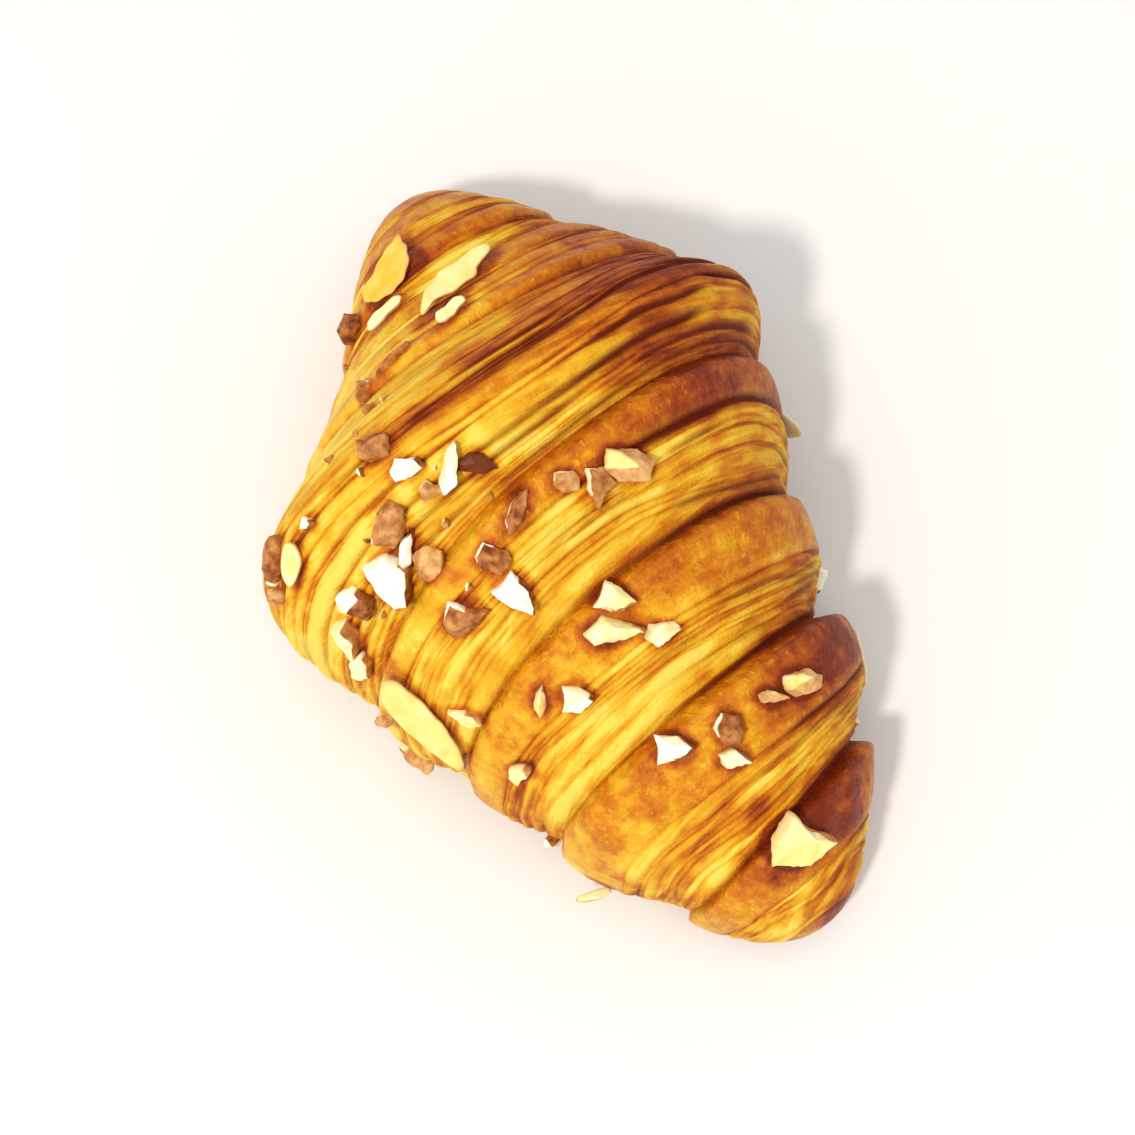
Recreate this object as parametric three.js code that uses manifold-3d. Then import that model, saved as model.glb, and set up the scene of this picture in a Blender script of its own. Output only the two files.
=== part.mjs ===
// An almond croissant: one baked roll of laminated dough, with chopped and sliced almonds stuck to its crust.
// Millimetres, +Z up. The roll lies along X, and its flat underside rests on z = 0.
// The horn that tapers long is at +X, and the short blunt horn at -X.
import * as THREE from 'three';
import { mergeVertices } from 'three/addons/utils/BufferGeometryUtils.js';
import Module from 'manifold-3d';

// Driving dimensions of the roll
const HALF_LENGTH = 70;
const BELLY_LEVEL = 0.3;        // share of the height at which the roll is widest
const SIDE_SQUARENESS = 0.9;    // powers under 1 fill out the cross-section's corners
const TOP_SQUARENESS = 0.95;
const BASE_SQUARENESS = 0.8;
const BASE_PRESS = 1.2;         // how far past the tray the round underside would reach
const HORN_SHRINK = 0.85;       // a horn's size at its end, against its middle
const HORN_POWER = 2.2;         // roundness of a horn's blunt end
const FAR_HORN_ROUNDS_AT = -0.66;
const NEAR_HORN_ROUNDS_AT = 0.78;

// The rings that the rolled triangle of dough makes, from the short horn to the long one.
// aside is how far a ring's middle lies off the X axis, as the horns bend a little to +Y.
const RINGS = [
  { name: 'short horn', halfWidth: 16.6, height: 33.5, aside: 7.5 },
  { name: 'short shoulder', halfWidth: 29.0, height: 44.5, aside: 6.5 },
  { name: 'crown', halfWidth: 46.0, height: 62.5, aside: 0.0 },
  { name: 'first step', halfWidth: 40.0, height: 56.0, aside: -1.8 },
  { name: 'second step', halfWidth: 33.2, height: 46.5, aside: -0.6 },
  { name: 'third step', halfWidth: 26.6, height: 38.5, aside: 1.8 },
  { name: 'long horn', halfWidth: 15.0, height: 25.0, aside: 2.0 },
];
const CROWN = 2;

// The seam between each ring and the next: where it crosses the top, how far it has moved along the roll
// by the time it is down either side (skew one way on each side, bow the same way), and how deep it is
// on the near side (-Y) and on the far side (+Y).
const SEAMS = [
  { along: -49, skew: -1.0, bow: 1.0, nearDepth: 0.6, farDepth: 0.8 },
  { along: -32, skew: 0.0, bow: 0.5, nearDepth: 1.2, farDepth: 1.2 },
  { along: -7, skew: -7.0, bow: 6.0, nearDepth: 1.6, farDepth: 2.0 },
  { along: 12, skew: -4.5, bow: 4.5, nearDepth: 1.2, farDepth: 2.0 },
  { along: 32, skew: -4.0, bow: 0.5, nearDepth: 1.2, farDepth: 3.4 },
  { along: 54, skew: -5.0, bow: -2.0, nearDepth: 1.4, farDepth: 3.0 },
];
const SHOULDER_SHARE = 0.13;    // share of a ring in which its crust swells up out of the seam
const CUT_EDGE_FROM = 0.5;      // share of a ring after which its cut edge slopes down to the next seam
const PUFF = 1.0;               // how much a ring swells between its seams
const PUFF_LEAN = 0.7;          // under 1 moves the swelling towards the seam that the ring rises from
const LAYER_RELIEF = 0.25;      // height of the coarse layers on a cut edge

// Almond slices that lie on the crust: place along the roll, angle round it (0 on top, + down the +Y side),
// length, width, turn in the plane of the crust, and lean out of that plane. Millimetres and degrees.
const SLICES = [
  [-40.9, -4.5, 16.5, 4.8, -62, 6],
  [-36.6, -6, 9, 3, -50, 6],
  [-49.3, -28.5, 10.8, 6.6, -74, 12],
  [-43.9, -29, 7.2, 3, -75, 4],
  [-16.5, -55, 8.5, 3.6, -62, 10],
  [12.4, -63.5, 22.5, 7.8, -33, -22],
  [36, 100, 11, 5.5, 20, 0],
  [-4, 100, 12, 6, -35, 0],
];
const SLICE_LIFT = 0.9;         // how far a slice's face stands over the crust at its middle
const SLICE_ROOT = 3.2;         // how far its body reaches down into the crust, so that no gap is shut in
const SLICE_PROP = 0.7;         // a leaning slice is raised by this share of what its higher edge rises
const SLICE_SIDES = 14;
const SLICE_TAPER = 0.25;       // share by which its one end is broader than the other
const SLICE_WAVER = 0.12;       // share by which its rim wavers

// Chopped almonds: place along the roll, angle round it, length, width, height over the crust, turn.
const CHUNKS = [
  [-50, -58, 5.0, 3.4, 1.6, -72],
  [-33.5, -36, 4.0, 2.6, 1.2, -13],
  [-20.5, -26, 4.6, 3.8, 1.6, 69],
  [-15, -22, 4.7, 3.4, 1.8, 55],
  [-11, -20.5, 3.6, 3.0, 1.4, 54],
  [-11.7, -15.5, 6.0, 2.8, 2.0, -34],
  [-10.6, -11, 4.6, 3.6, 1.4, 57],
  [-10.8, -31, 7.0, 5.0, 2.0, -52],
  [-5, -40, 9.0, 6.6, 2.4, -49],
  [-6.9, -31, 4.6, 2.4, 2.0, -52],
  [-3.6, -30, 5.2, 4.4, 1.6, -41],
  [-19, -62, 7.0, 3.0, 1.6, -50],
  [-18.5, -46.5, 2.6, 2.0, 1.0, 57],
  [-15.5, -70, 3.6, 2.6, 1.2, 66],
  [-6, -51, 5.6, 5.0, 2.0, -3],
  [-3.5, -62, 6.6, 5.0, 2.0, -63],
  [0, -68, 5.2, 3.4, 1.4, -75],
  [8, -76, 4.6, 3.2, 1.2, 75],
  [19.5, -76, 4.6, 3.4, 1.2, 74],
  [15.6, -54, 4.2, 2.6, 1.2, 24],
  [6, -30.5, 6.2, 5.4, 1.8, 62],
  [1.8, -17.5, 4.6, 4.0, 1.4, 24],
  [6.8, -18, 5.8, 4.4, 1.8, 7],
  [-1.8, -8.5, 5.7, 3.6, 1.2, -53],
  [-1.8, 0.5, 3.5, 3.2, 1.2, 59],
  [0.8, 5, 6.0, 4.3, 1.6, -39],
  [0.4, 11.5, 7.4, 4.9, 1.8, 59],
  [14.7, -2.5, 5.5, 4.3, 2.0, 38],
  [18.5, -6.5, 7.2, 4.9, 1.8, 67],
  [22.4, 1, 5.1, 3.1, 1.6, 68],
  [20.8, -30.5, 3.9, 2.3, 1.4, -42],
  [23.4, -23.5, 4.4, 4.2, 2.0, 53],
  [27, -54, 3.4, 2.8, 1.2, 52],
  [36.8, -13.5, 5.3, 4.7, 2.2, 57],
  [38.6, 0.5, 4.7, 4.2, 1.6, -20],
  [42.6, -2, 4.0, 3.1, 1.8, 57],
  [38.4, 25.5, 6.0, 3.9, 1.8, 75],
  [38.1, 14.5, 4.0, 2.3, 1.4, 63],
  [57.5, 3, 9.0, 8.0, 2.4, 57],
];
const CHUNK_ROOT = 1.6;         // how far a chopped piece reaches down into the crust
const CHUNK_RAGGEDNESS = 0.22;  // share by which its corners are moved in and out

// Chopped pieces low on both sides, out of the way of the listed ones.
const STRAY_COUNT = 10;
const STRAY_SPAN = 50;          // they lie within this distance of the roll's middle
const STRAY_FAR_ANGLES = [98, 112];
const STRAY_NEAR_ANGLES = [-112, -98];
const STRAY_LENGTHS = [3.5, 7.5];
const STRAY_ASPECTS = [0.5, 0.8];       // width over length
const STRAY_HEIGHTS = [1.2, 2.2];

// Mesh density
const ROWS_PER_RING = 12;
const HORN_END_ROWS = 6;
const POINTS_ROUND = 44;
const HORN_ROW_CROWDING = 1.9;
const SEAM_ROW_CROWDING = 0.6;

// Smooth step from 0 at a to 1 at b.
function ramp(a, b, x) {
  const t = THREE.MathUtils.clamp((x - a) / (b - a), 0, 1);
  return t * t * (3 - 2 * t);
}

// Monotone cubic through the stations [x, value], so that no ring overshoots its neighbours.
function stationCurve(stations) {
  const last = stations.length - 1;
  const rise = [];
  for (let i = 0; i < last; i++) {
    rise.push((stations[i + 1][1] - stations[i][1]) / (stations[i + 1][0] - stations[i][0]));
  }
  const slope = stations.map((_, i) => {
    if (i === 0) return rise[0];
    if (i === last) return rise[last - 1];
    const before = rise[i - 1];
    const after = rise[i];
    return before * after <= 0 ? 0 : (2 * before * after) / (before + after);
  });
  return (x) => {
    let i = 0;
    while (i < last - 1 && x > stations[i + 1][0]) i++;
    const [x0, v0] = stations[i];
    const [x1, v1] = stations[i + 1];
    const span = x1 - x0;
    const t = THREE.MathUtils.clamp((x - x0) / span, 0, 1);
    const u = 1 - t;
    return v0 * (1 + 2 * t) * u * u + slope[i] * span * t * u * u
      + v1 * (3 - 2 * t) * t * t - slope[i + 1] * span * t * t * u;
  };
}

// The roll's size along its length: each ring's own value at its middle, and a little less at the horns' ends.
const seamTops = [-HALF_LENGTH, ...SEAMS.map((seam) => seam.along), HALF_LENGTH];
const ringMiddles = RINGS.map((_, k) => (seamTops[k] + seamTops[k + 1]) / 2);

function sizeAlong(key, atEnd) {
  const first = RINGS[0][key];
  const second = RINGS[1][key];
  const finish = RINGS[RINGS.length - 1][key];
  const beforeFinish = RINGS[RINGS.length - 2][key];
  return stationCurve([
    [-HALF_LENGTH, atEnd(first, second)],
    ...RINGS.map((ring, k) => [ringMiddles[k], ring[key]]),
    [HALF_LENGTH, atEnd(finish, beforeFinish)],
  ]);
}

const shrunk = (own) => own * HORN_SHRINK;
const halfWidthAt = sizeAlong('halfWidth', shrunk);
const heightAt = sizeAlong('height', shrunk);
const asideAt = sizeAlong('aside', (own, neighbour) => 2 * own - neighbour);

// Where ring k starts, going round: angle is 0 on top, and positive down the +Y side.
function seamAt(k, angle) {
  if (k === 0) return -HALF_LENGTH;
  if (k === RINGS.length) return HALF_LENGTH;
  const { along, skew, bow } = SEAMS[k - 1];
  return along + skew * Math.sin(angle) + bow * (1 - Math.cos(angle));
}

// How deep the seam is where ring k starts.
function seamDepth(k, angle) {
  const { nearDepth, farDepth } = SEAMS[k - 1];
  return (nearDepth + farDepth) / 2 + ((farDepth - nearDepth) / 2) * Math.sin(angle);
}

// How far the crust lies below the ring's full size at share s of ring k. Past the crown each ring swells up
// steeply from its seam and slopes down over its cut edge, and before the crown it is the other way round.
function sinkAt(k, s, angle) {
  const start = k === 0 ? 0 : seamDepth(k, angle);
  const end = k === RINGS.length - 1 ? 0 : seamDepth(k + 1, angle);
  const beforeCrown = k < CROWN;
  const startShare = k > CROWN ? SHOULDER_SHARE : CUT_EDGE_FROM;
  const endShare = beforeCrown ? SHOULDER_SHARE : CUT_EDGE_FROM;
  const swellShare = Math.pow(beforeCrown ? 1 - s : s, k === CROWN ? 1 : PUFF_LEAN);
  const swell = PUFF * Math.sin(Math.PI * swellShare);
  return start * (1 - ramp(0, startShare, s)) + end * ramp(1 - endShare, 1, s) - swell;
}

// How blunt horns close: 1 along the roll, falling to 0 at each end as a quarter of a superellipse.
function hornCap(along) {
  const t = along / HALF_LENGTH;
  const far = THREE.MathUtils.clamp((FAR_HORN_ROUNDS_AT - t) / (1 + FAR_HORN_ROUNDS_AT), 0, 1);
  const near = THREE.MathUtils.clamp((t - NEAR_HORN_ROUNDS_AT) / (1 - NEAR_HORN_ROUNDS_AT), 0, 1);
  const round = (u) => Math.pow(1 - Math.pow(u, HORN_POWER), 1 / HORN_POWER);
  return round(far) * round(near);
}

// A point of the crust at a place along the roll and an angle round it, sunk below the ring's full size.
function crustPoint(along, sink, angle) {
  const cap = hornCap(along);
  const sunk = sink * cap;
  const height = heightAt(along);
  const belly = BELLY_LEVEL * height;
  const side = Math.sin(angle);
  const up = Math.cos(angle);
  const y = asideAt(along)
    + (halfWidthAt(along) * cap - sunk) * Math.sign(side) * Math.pow(Math.abs(side), SIDE_SQUARENESS);
  const z = up > 0
    ? belly + ((height - belly) * cap - sunk) * Math.pow(up, TOP_SQUARENESS)
    : Math.max(0, belly - BASE_PRESS * (belly * cap - sunk) * Math.pow(-up, BASE_SQUARENESS));
  return new THREE.Vector3(along, y, z);
}

// The crust at a place along the roll, whichever ring it falls in.
function crustAt(along, angle) {
  let k = 0;
  while (k < RINGS.length - 1 && along > seamAt(k + 1, angle)) k++;
  const start = seamAt(k, angle);
  const s = (along - start) / (seamAt(k + 1, angle) - start);
  return crustPoint(along, sinkAt(k, s, angle), angle);
}

// The crust's frame at a place: X along the roll, Z out of the crust.
function crustFrame(along, angle) {
  const STEP_ALONG = 3;
  const STEP_ROUND = THREE.MathUtils.degToRad(8);
  const at = crustAt(along, angle);
  const forward = crustAt(along + STEP_ALONG, angle).sub(crustAt(along - STEP_ALONG, angle));
  const round = crustAt(along, angle + STEP_ROUND).sub(crustAt(along, angle - STEP_ROUND));
  const out = new THREE.Vector3().crossVectors(forward, round).normalize();
  const ahead = new THREE.Vector3(1, 0, 0).addScaledVector(out, -out.x).normalize();
  return new THREE.Matrix4().makeBasis(ahead, new THREE.Vector3().crossVectors(out, ahead), out).setPosition(at);
}

// The rows of the mesh: each is a ring number and a share of that ring, closer together at the seams.
function meshRows() {
  const rows = [];
  RINGS.forEach((_, k) => {
    const isFarHorn = k === 0;
    const isNearHorn = k === RINGS.length - 1;
    const count = ROWS_PER_RING + (isFarHorn || isNearHorn ? HORN_END_ROWS : 0);
    for (let i = isFarHorn ? 1 : 0; i < count; i++) {
      const even = i / count;
      let share = even - (SEAM_ROW_CROWDING * Math.sin(2 * Math.PI * even)) / (2 * Math.PI);
      if (isFarHorn) share = Math.pow(even, HORN_ROW_CROWDING);
      if (isNearHorn) share = 1 - Math.pow(1 - even, HORN_ROW_CROWDING);
      rows.push({ k, share, isProud: i % 2 === 1 });
    }
  });
  return rows;
}

// Height of the coarse layers on a ring's cut edges: every second row stands proud there.
function layerRelief({ k, share, isProud }) {
  const isHorn = k === 0 || k === RINGS.length - 1;
  const onLaterEdge = k >= CROWN && share > CUT_EDGE_FROM;
  const onEarlierEdge = k <= CROWN && share > 0 && share < 1 - CUT_EDGE_FROM;
  if (isHorn || !(onLaterEdge || onEarlierEdge)) return 0;
  return isProud ? LAYER_RELIEF : -LAYER_RELIEF;
}

function rollGeometry() {
  const points = [];
  const rows = meshRows();
  for (const row of rows) {
    for (let j = 0; j < POINTS_ROUND; j++) {
      const angle = (2 * Math.PI * j) / POINTS_ROUND - Math.PI;
      const start = seamAt(row.k, angle);
      const along = start + row.share * (seamAt(row.k + 1, angle) - start);
      points.push(crustPoint(along, sinkAt(row.k, row.share, angle) - layerRelief(row), angle));
    }
  }
  const farTip = points.push(crustPoint(-HALF_LENGTH, 0, 0)) - 1;
  const nearTip = points.push(crustPoint(HALF_LENGTH, 0, 0)) - 1;
  const faces = [];
  const at = (i, j) => i * POINTS_ROUND + (j % POINTS_ROUND);
  for (let j = 0; j < POINTS_ROUND; j++) {
    faces.push(farTip, at(0, j), at(0, j + 1));
    for (let i = 0; i < rows.length - 1; i++) {
      faces.push(at(i, j), at(i + 1, j), at(i, j + 1));
      faces.push(at(i, j + 1), at(i + 1, j), at(i + 1, j + 1));
    }
    faces.push(nearTip, at(rows.length - 1, j + 1), at(rows.length - 1, j));
  }
  return new THREE.BufferGeometry().setFromPoints(points).setIndex(faces);
}

// A repeatable draw between 0 and 1 for piece i, one for each channel.
function draw(i, channel) {
  const value = Math.sin(i * 12.9898 + channel * 78.233) * 43758.5453;
  return value - Math.floor(value);
}

function drawBetween([low, high], i, channel) {
  return low + (high - low) * draw(i, channel);
}

// A slice is an egg-shaped plate with a wavy rim, rooted in the crust.
function sliceGeometry([along, around, long, wide, turn, lean], i) {
  const outline = new THREE.Shape();
  for (let j = 0; j < SLICE_SIDES; j++) {
    const t = (2 * Math.PI * j) / SLICE_SIDES;
    const rim = 1 - SLICE_WAVER * draw(i * SLICE_SIDES + j, 1);
    const taper = 1 - SLICE_TAPER * Math.cos(t);
    const x = (long / 2) * Math.cos(t);
    const y = (wide / 2) * Math.sin(t) * rim * taper;
    if (j === 0) outline.moveTo(x, y);
    else outline.lineTo(x, y);
  }
  outline.closePath();
  const rise = (wide / 2) * Math.sin(THREE.MathUtils.degToRad(Math.abs(lean)));
  const root = SLICE_ROOT + 2 * rise;
  const geometry = new THREE.ExtrudeGeometry(outline, { depth: SLICE_LIFT + root, bevelEnabled: false });
  geometry.translate(0, 0, -root);
  geometry.rotateX(THREE.MathUtils.degToRad(lean));
  geometry.translate(0, 0, SLICE_PROP * rise);
  return placed(geometry, along, around, turn);
}

// A chopped piece is a ragged lump of twenty facets, rooted in the crust.
function chunkGeometry([along, around, long, wide, tall, turn], i) {
  const lump = new THREE.IcosahedronGeometry(1, 0);
  lump.deleteAttribute('normal');
  lump.deleteAttribute('uv');
  const geometry = mergeVertices(lump);
  const position = geometry.getAttribute('position');
  for (let j = 0; j < position.count; j++) {
    const reach = 1 - CHUNK_RAGGEDNESS * draw(i * position.count + j, 2);
    position.setXYZ(j, position.getX(j) * reach, position.getY(j) * reach, position.getZ(j) * reach);
  }
  geometry.scale(long / 2, wide / 2, (tall + CHUNK_ROOT) / 2);
  geometry.translate(0, 0, (tall - CHUNK_ROOT) / 2);
  return placed(geometry, along, around, turn);
}

function placed(geometry, along, around, turn) {
  geometry.rotateZ(THREE.MathUtils.degToRad(turn));
  return geometry.applyMatrix4(crustFrame(along, THREE.MathUtils.degToRad(around)));
}

// The stray pieces take turns between the two sides, spread along the roll by the golden ratio.
function strayChunks() {
  const GOLDEN = 0.618034;
  const strays = [];
  for (let i = 0; i < STRAY_COUNT; i++) {
    const along = STRAY_SPAN * (2 * ((i * GOLDEN) % 1) - 1);
    const around = drawBetween(i % 2 === 0 ? STRAY_FAR_ANGLES : STRAY_NEAR_ANGLES, i, 3);
    const long = drawBetween(STRAY_LENGTHS, i, 4);
    const wide = long * drawBetween(STRAY_ASPECTS, i, 5);
    strays.push([along, around, long, wide, drawBetween(STRAY_HEIGHTS, i, 6), 180 * draw(i, 7)]);
  }
  return strays;
}

const wasm = await Module();
wasm.setup();

function solidFrom(geometry) {
  geometry.deleteAttribute('normal');
  geometry.deleteAttribute('uv');
  const merged = mergeVertices(geometry, 1e-4);
  const vertProperties = merged.getAttribute('position').array;
  const triVerts = new Uint32Array(merged.getIndex().array);
  return new wasm.Manifold(new wasm.Mesh({ numProp: 3, vertProperties, triVerts }));
}

function geometryFrom(solid) {
  const mesh = solid.getMesh();
  const geometry = new THREE.BufferGeometry();
  geometry.setAttribute('position', new THREE.BufferAttribute(mesh.vertProperties, mesh.numProp));
  geometry.setIndex(new THREE.BufferAttribute(mesh.triVerts, 1));
  geometry.computeVertexNormals();
  return geometry;
}

// The almonds are stuck fast to the crust, so the whole is one solid.
function bakedCroissant() {
  const almonds = [
    ...SLICES.map(sliceGeometry),
    ...[...CHUNKS, ...strayChunks()].map(chunkGeometry),
  ];
  return almonds.reduce((whole, almond) => whole.add(solidFrom(almond)), solidFrom(rollGeometry()));
}

const pastry = new THREE.MeshStandardMaterial({ name: 'pastry', color: '#c9772a', roughness: 0.45, metalness: 0 });
const croissant = new THREE.Mesh(geometryFrom(bakedCroissant()), pastry);
croissant.name = 'croissant';

const part = new THREE.Group();
part.add(croissant);

export default part;
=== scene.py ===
# %% [markdown]
# # An almond croissant
#
# A croissant is one triangle of laminated dough, rolled up and baked. Each wrap of the roll shows a
# smooth, egg-washed skin, and beside it the cut edge of the triangle, where the layers of dough lie bare
# like the edges of a stack of paper. Chopped and sliced almonds are stuck to it before baking.
#
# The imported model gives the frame: one solid, named croissant, whose form this script repeats from the
# same named sizes, with the layers, cracks and blisters that are too fine for the solid.

# %% The frame
import math

import bpy
import numpy as np
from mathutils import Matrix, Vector


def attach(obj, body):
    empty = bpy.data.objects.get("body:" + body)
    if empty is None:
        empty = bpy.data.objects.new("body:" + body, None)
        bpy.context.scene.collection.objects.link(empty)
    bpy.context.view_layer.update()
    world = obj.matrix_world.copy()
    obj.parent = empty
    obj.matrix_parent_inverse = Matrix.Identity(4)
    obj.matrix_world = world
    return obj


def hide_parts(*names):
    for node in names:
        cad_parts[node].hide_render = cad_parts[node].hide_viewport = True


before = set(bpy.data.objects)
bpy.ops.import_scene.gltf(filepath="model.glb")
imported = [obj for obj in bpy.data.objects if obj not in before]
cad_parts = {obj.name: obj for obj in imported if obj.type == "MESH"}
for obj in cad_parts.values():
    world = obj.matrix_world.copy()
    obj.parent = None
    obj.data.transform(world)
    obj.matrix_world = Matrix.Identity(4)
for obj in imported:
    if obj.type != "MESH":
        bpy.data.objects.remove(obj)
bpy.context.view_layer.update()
MM = 0.001

# %% [markdown]
# ## The camera
#
# The photograph looks almost straight down on the croissant, a little from the near side of its long
# horn. The camera could be placed by eye, but here its direction is held as two angles, which is easier
# to reason about: azimuth 0 looks along +Y, and elevation is the height above the horizon. The lens then
# follows from how large the roll is in the picture.

# %% Camera
VIEW_AZIMUTH = math.radians(58.2)
VIEW_ELEVATION = math.radians(75.9)
VIEW_DISTANCE = 342 * MM
VIEW_LENS = 68.6  # mm on a 36 mm sensor, for a square picture
NEAR_CLIP = 10 * MM
LOOK_AT = Vector((1.85, -3.11, 24.5)) * MM

TOWARDS_CAMERA = Vector((
    math.sin(VIEW_AZIMUTH) * math.cos(VIEW_ELEVATION),
    -math.cos(VIEW_AZIMUTH) * math.cos(VIEW_ELEVATION),
    math.sin(VIEW_ELEVATION),
))
PICTURE_RIGHT = Vector((math.cos(VIEW_AZIMUTH), math.sin(VIEW_AZIMUTH), 0))
PICTURE_UP = TOWARDS_CAMERA.cross(PICTURE_RIGHT)


def place_camera():
    """A camera off the point it looks at, turned so that its own -Z axis points there."""
    camera_data = bpy.data.cameras.new("photo_view")
    camera_data.lens = VIEW_LENS
    camera_data.clip_start = NEAR_CLIP
    camera = bpy.data.objects.new("photo_view", camera_data)
    bpy.context.scene.collection.objects.link(camera)
    camera.location = LOOK_AT + TOWARDS_CAMERA * VIEW_DISTANCE
    camera.rotation_euler = (-TOWARDS_CAMERA).to_track_quat("-Z", "Y").to_euler()
    bpy.context.scene.camera = camera
    return camera


print("camera at", [round(value, 3) for value in place_camera().location])

# %% [markdown]
# ## The roll's driving sizes
#
# These are the sizes of the solid: the rings that the wraps make, from the short horn to the long one,
# and the seams between them. A sculpted mesh could not be checked against the solid, but a surface worked
# out from the same numbers lies in the same place everywhere.

# %% Sizes of the roll, in millimetres
HALF_LENGTH = 70
BELLY_LEVEL = 0.3  # share of the height at which the roll is widest
SIDE_SQUARENESS = 0.9  # power of the sine or cosine: the further under 1, the squarer the arc
TOP_SQUARENESS = 0.95
BASE_SQUARENESS = 0.8
BASE_PRESS = 1.2  # how far past the tray the round underside would reach
HORN_SHRINK = 0.85  # share of the end rings' sizes that is left at the roll's ends
HORN_POWER = 2.2  # how square the horns' rounded ends are
FAR_HORN_ROUNDS_AT = -0.66  # shares of the half length at which the horns start to round off
NEAR_HORN_ROUNDS_AT = 0.78

# Half width, height, and how far the ring's middle lies off the X axis
HALF_WIDTH, HEIGHT, ASIDE = 0, 1, 2
RINGS = {
    "short horn": (16.6, 33.5, 7.5),
    "short shoulder": (29.0, 44.5, 6.5),
    "crown": (46.0, 62.5, 0.0),
    "first step": (40.0, 56.0, -1.8),
    "second step": (33.2, 46.5, -0.6),
    "third step": (26.6, 38.5, 1.8),
    "long horn": (15.0, 25.0, 2.0),
}
RING_NAMES = list(RINGS)
RING_COUNT = len(RINGS)
CROWN = RING_NAMES.index("crown")

# Place along the roll on top, skew and bow on the way down the sides, depth on the near side and the far side
SEAMS = (
    (-49, -1.0, 1.0, 0.6, 0.8),
    (-32, 0.0, 0.5, 1.2, 1.2),
    (-7, -7.0, 6.0, 1.6, 2.0),
    (12, -4.5, 4.5, 1.2, 2.0),
    (32, -4.0, 0.5, 1.2, 3.4),
    (54, -5.0, -2.0, 1.4, 3.0),
)
SHOULDER_SHARE = 0.13  # share of a ring in which its crust swells up out of the seam
CUT_EDGE_FROM = 0.5  # share of a ring after which its cut edge slopes down to the next seam
PUFF = 1.0  # how far each ring swells out between its seams
PUFF_LEAN = 0.7  # under 1 moves the swelling towards the crown
print("the roll has", RING_COUNT, "rings and", len(SEAMS), "seams")

# %% [markdown]
# ## Small tools for curves and noise
#
# Three tools are enough for the whole shape: a smooth step, a curve through the rings' sizes that never
# overshoots them, and noise. Blender has its own noise functions, but they work on one point at a time.
# Here the noise is a table of random numbers, blended over whole arrays at once, and its last column
# meets its first, so that it joins up with itself when it runs once round the roll.

# %% Smooth step and size curves
def ramp(start, end, value):
    """Smooth step: 0 up to start, 1 from end, and 3t^2 - 2t^3 between them."""
    t = np.clip((value - start) / (end - start), 0, 1)
    return t * t * (3 - 2 * t)


def station_curve(places, values):
    """Cubic through stations, sloped by the harmonic mean of the rises on both sides, or level at a peak."""
    places, values = np.asarray(places, float), np.asarray(values, float)
    rise = np.diff(values) / np.diff(places)
    slope = np.concatenate([rise[:1], np.zeros(len(rise) - 1), rise[-1:]])
    product = rise[:-1] * rise[1:]
    same_way = product > 0
    slope[1:-1][same_way] = 2 * product[same_way] / (rise[:-1] + rise[1:])[same_way]

    def at(x):
        i = np.clip(np.searchsorted(places, x) - 1, 0, len(places) - 2)
        span = places[i + 1] - places[i]
        t = np.clip((x - places[i]) / span, 0, 1)
        u = 1 - t
        from_start = values[i] * (1 + 2 * t) * u * u + slope[i] * span * t * u * u
        from_end = values[i + 1] * (3 - 2 * t) * t * t - slope[i + 1] * span * t * t * u
        return from_start + from_end

    return at


def sized(key):
    """How one of a ring's three sizes runs along the roll, from ring middle to ring middle."""
    own = [sizes[key] for sizes in RINGS.values()]
    tops = [-HALF_LENGTH, *(seam[0] for seam in SEAMS), HALF_LENGTH]
    middles = [(a + b) / 2 for a, b in zip(tops[:-1], tops[1:])]
    if key == ASIDE:
        ends = 2 * own[0] - own[1], 2 * own[-1] - own[-2]
    else:
        ends = own[0] * HORN_SHRINK, own[-1] * HORN_SHRINK
    return station_curve([-HALF_LENGTH, *middles, HALF_LENGTH], [ends[0], *own, ends[1]])


half_width_at, height_at, aside_at = sized(HALF_WIDTH), sized(HEIGHT), sized(ASIDE)
crown_middle = (SEAMS[CROWN - 1][0] + SEAMS[CROWN][0]) / 2
print("crown: half width", float(half_width_at(crown_middle)), "height", float(height_at(crown_middle)))

# %% Noise that joins up with itself round the roll
NOISE_ROWS = 257  # rows of the table before it repeats, more than the roll ever needs
# Each use of the noise has its own seed. To those over 99 the ring's number is added.
SEEDS = {
    "swell": 41, "blister": 42, "crinkle": 43, "sheaf": 44, "ridge": 45,
    "wander": 100, "crack": 200, "tint": 300, "fray": 400, "glint": 500, "sheet": 600, "line": 700,
}


def roll_noise(across, turn, cells, seed):
    """Random values between -1 and 1 at whole numbers of `across` and at `cells` places round the roll.

    `turn` runs from 0 to 1 once round. Between the places the values are blended by the smooth step.
    """
    table = np.random.default_rng(seed).uniform(-1, 1, (NOISE_ROWS, cells))
    across, turn = np.broadcast_arrays(across, turn)
    row, column = np.floor(across), np.floor(turn * cells)
    row_blend, column_blend = ramp(0, 1, across - row), ramp(0, 1, turn * cells - column)
    row, column = row.astype(int), column.astype(int)
    blended = 0
    for row_step, row_share in ((0, 1 - row_blend), (1, row_blend)):
        for column_step, column_share in ((0, 1 - column_blend), (1, column_blend)):
            corner = table[(row + row_step) % NOISE_ROWS, (column + column_step) % cells]
            blended = blended + row_share * column_share * corner
    return blended


def strand_noise(count, turn, cells, seed):
    """A line of noise round the roll for each of `count` strands: an array of count by angles."""
    return roll_noise(np.arange(count)[:, None], turn[None, :], cells, seed)

# %% [markdown]
# ## The form of the roll
#
# A point of the crust is given by its place along the roll and an angle round it: 0 on top, positive down
# the far side (+Y). How far it is sunk below the ring's full size makes the seams and the swelling
# between them. The underside is pressed flat where the tray was.

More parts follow.
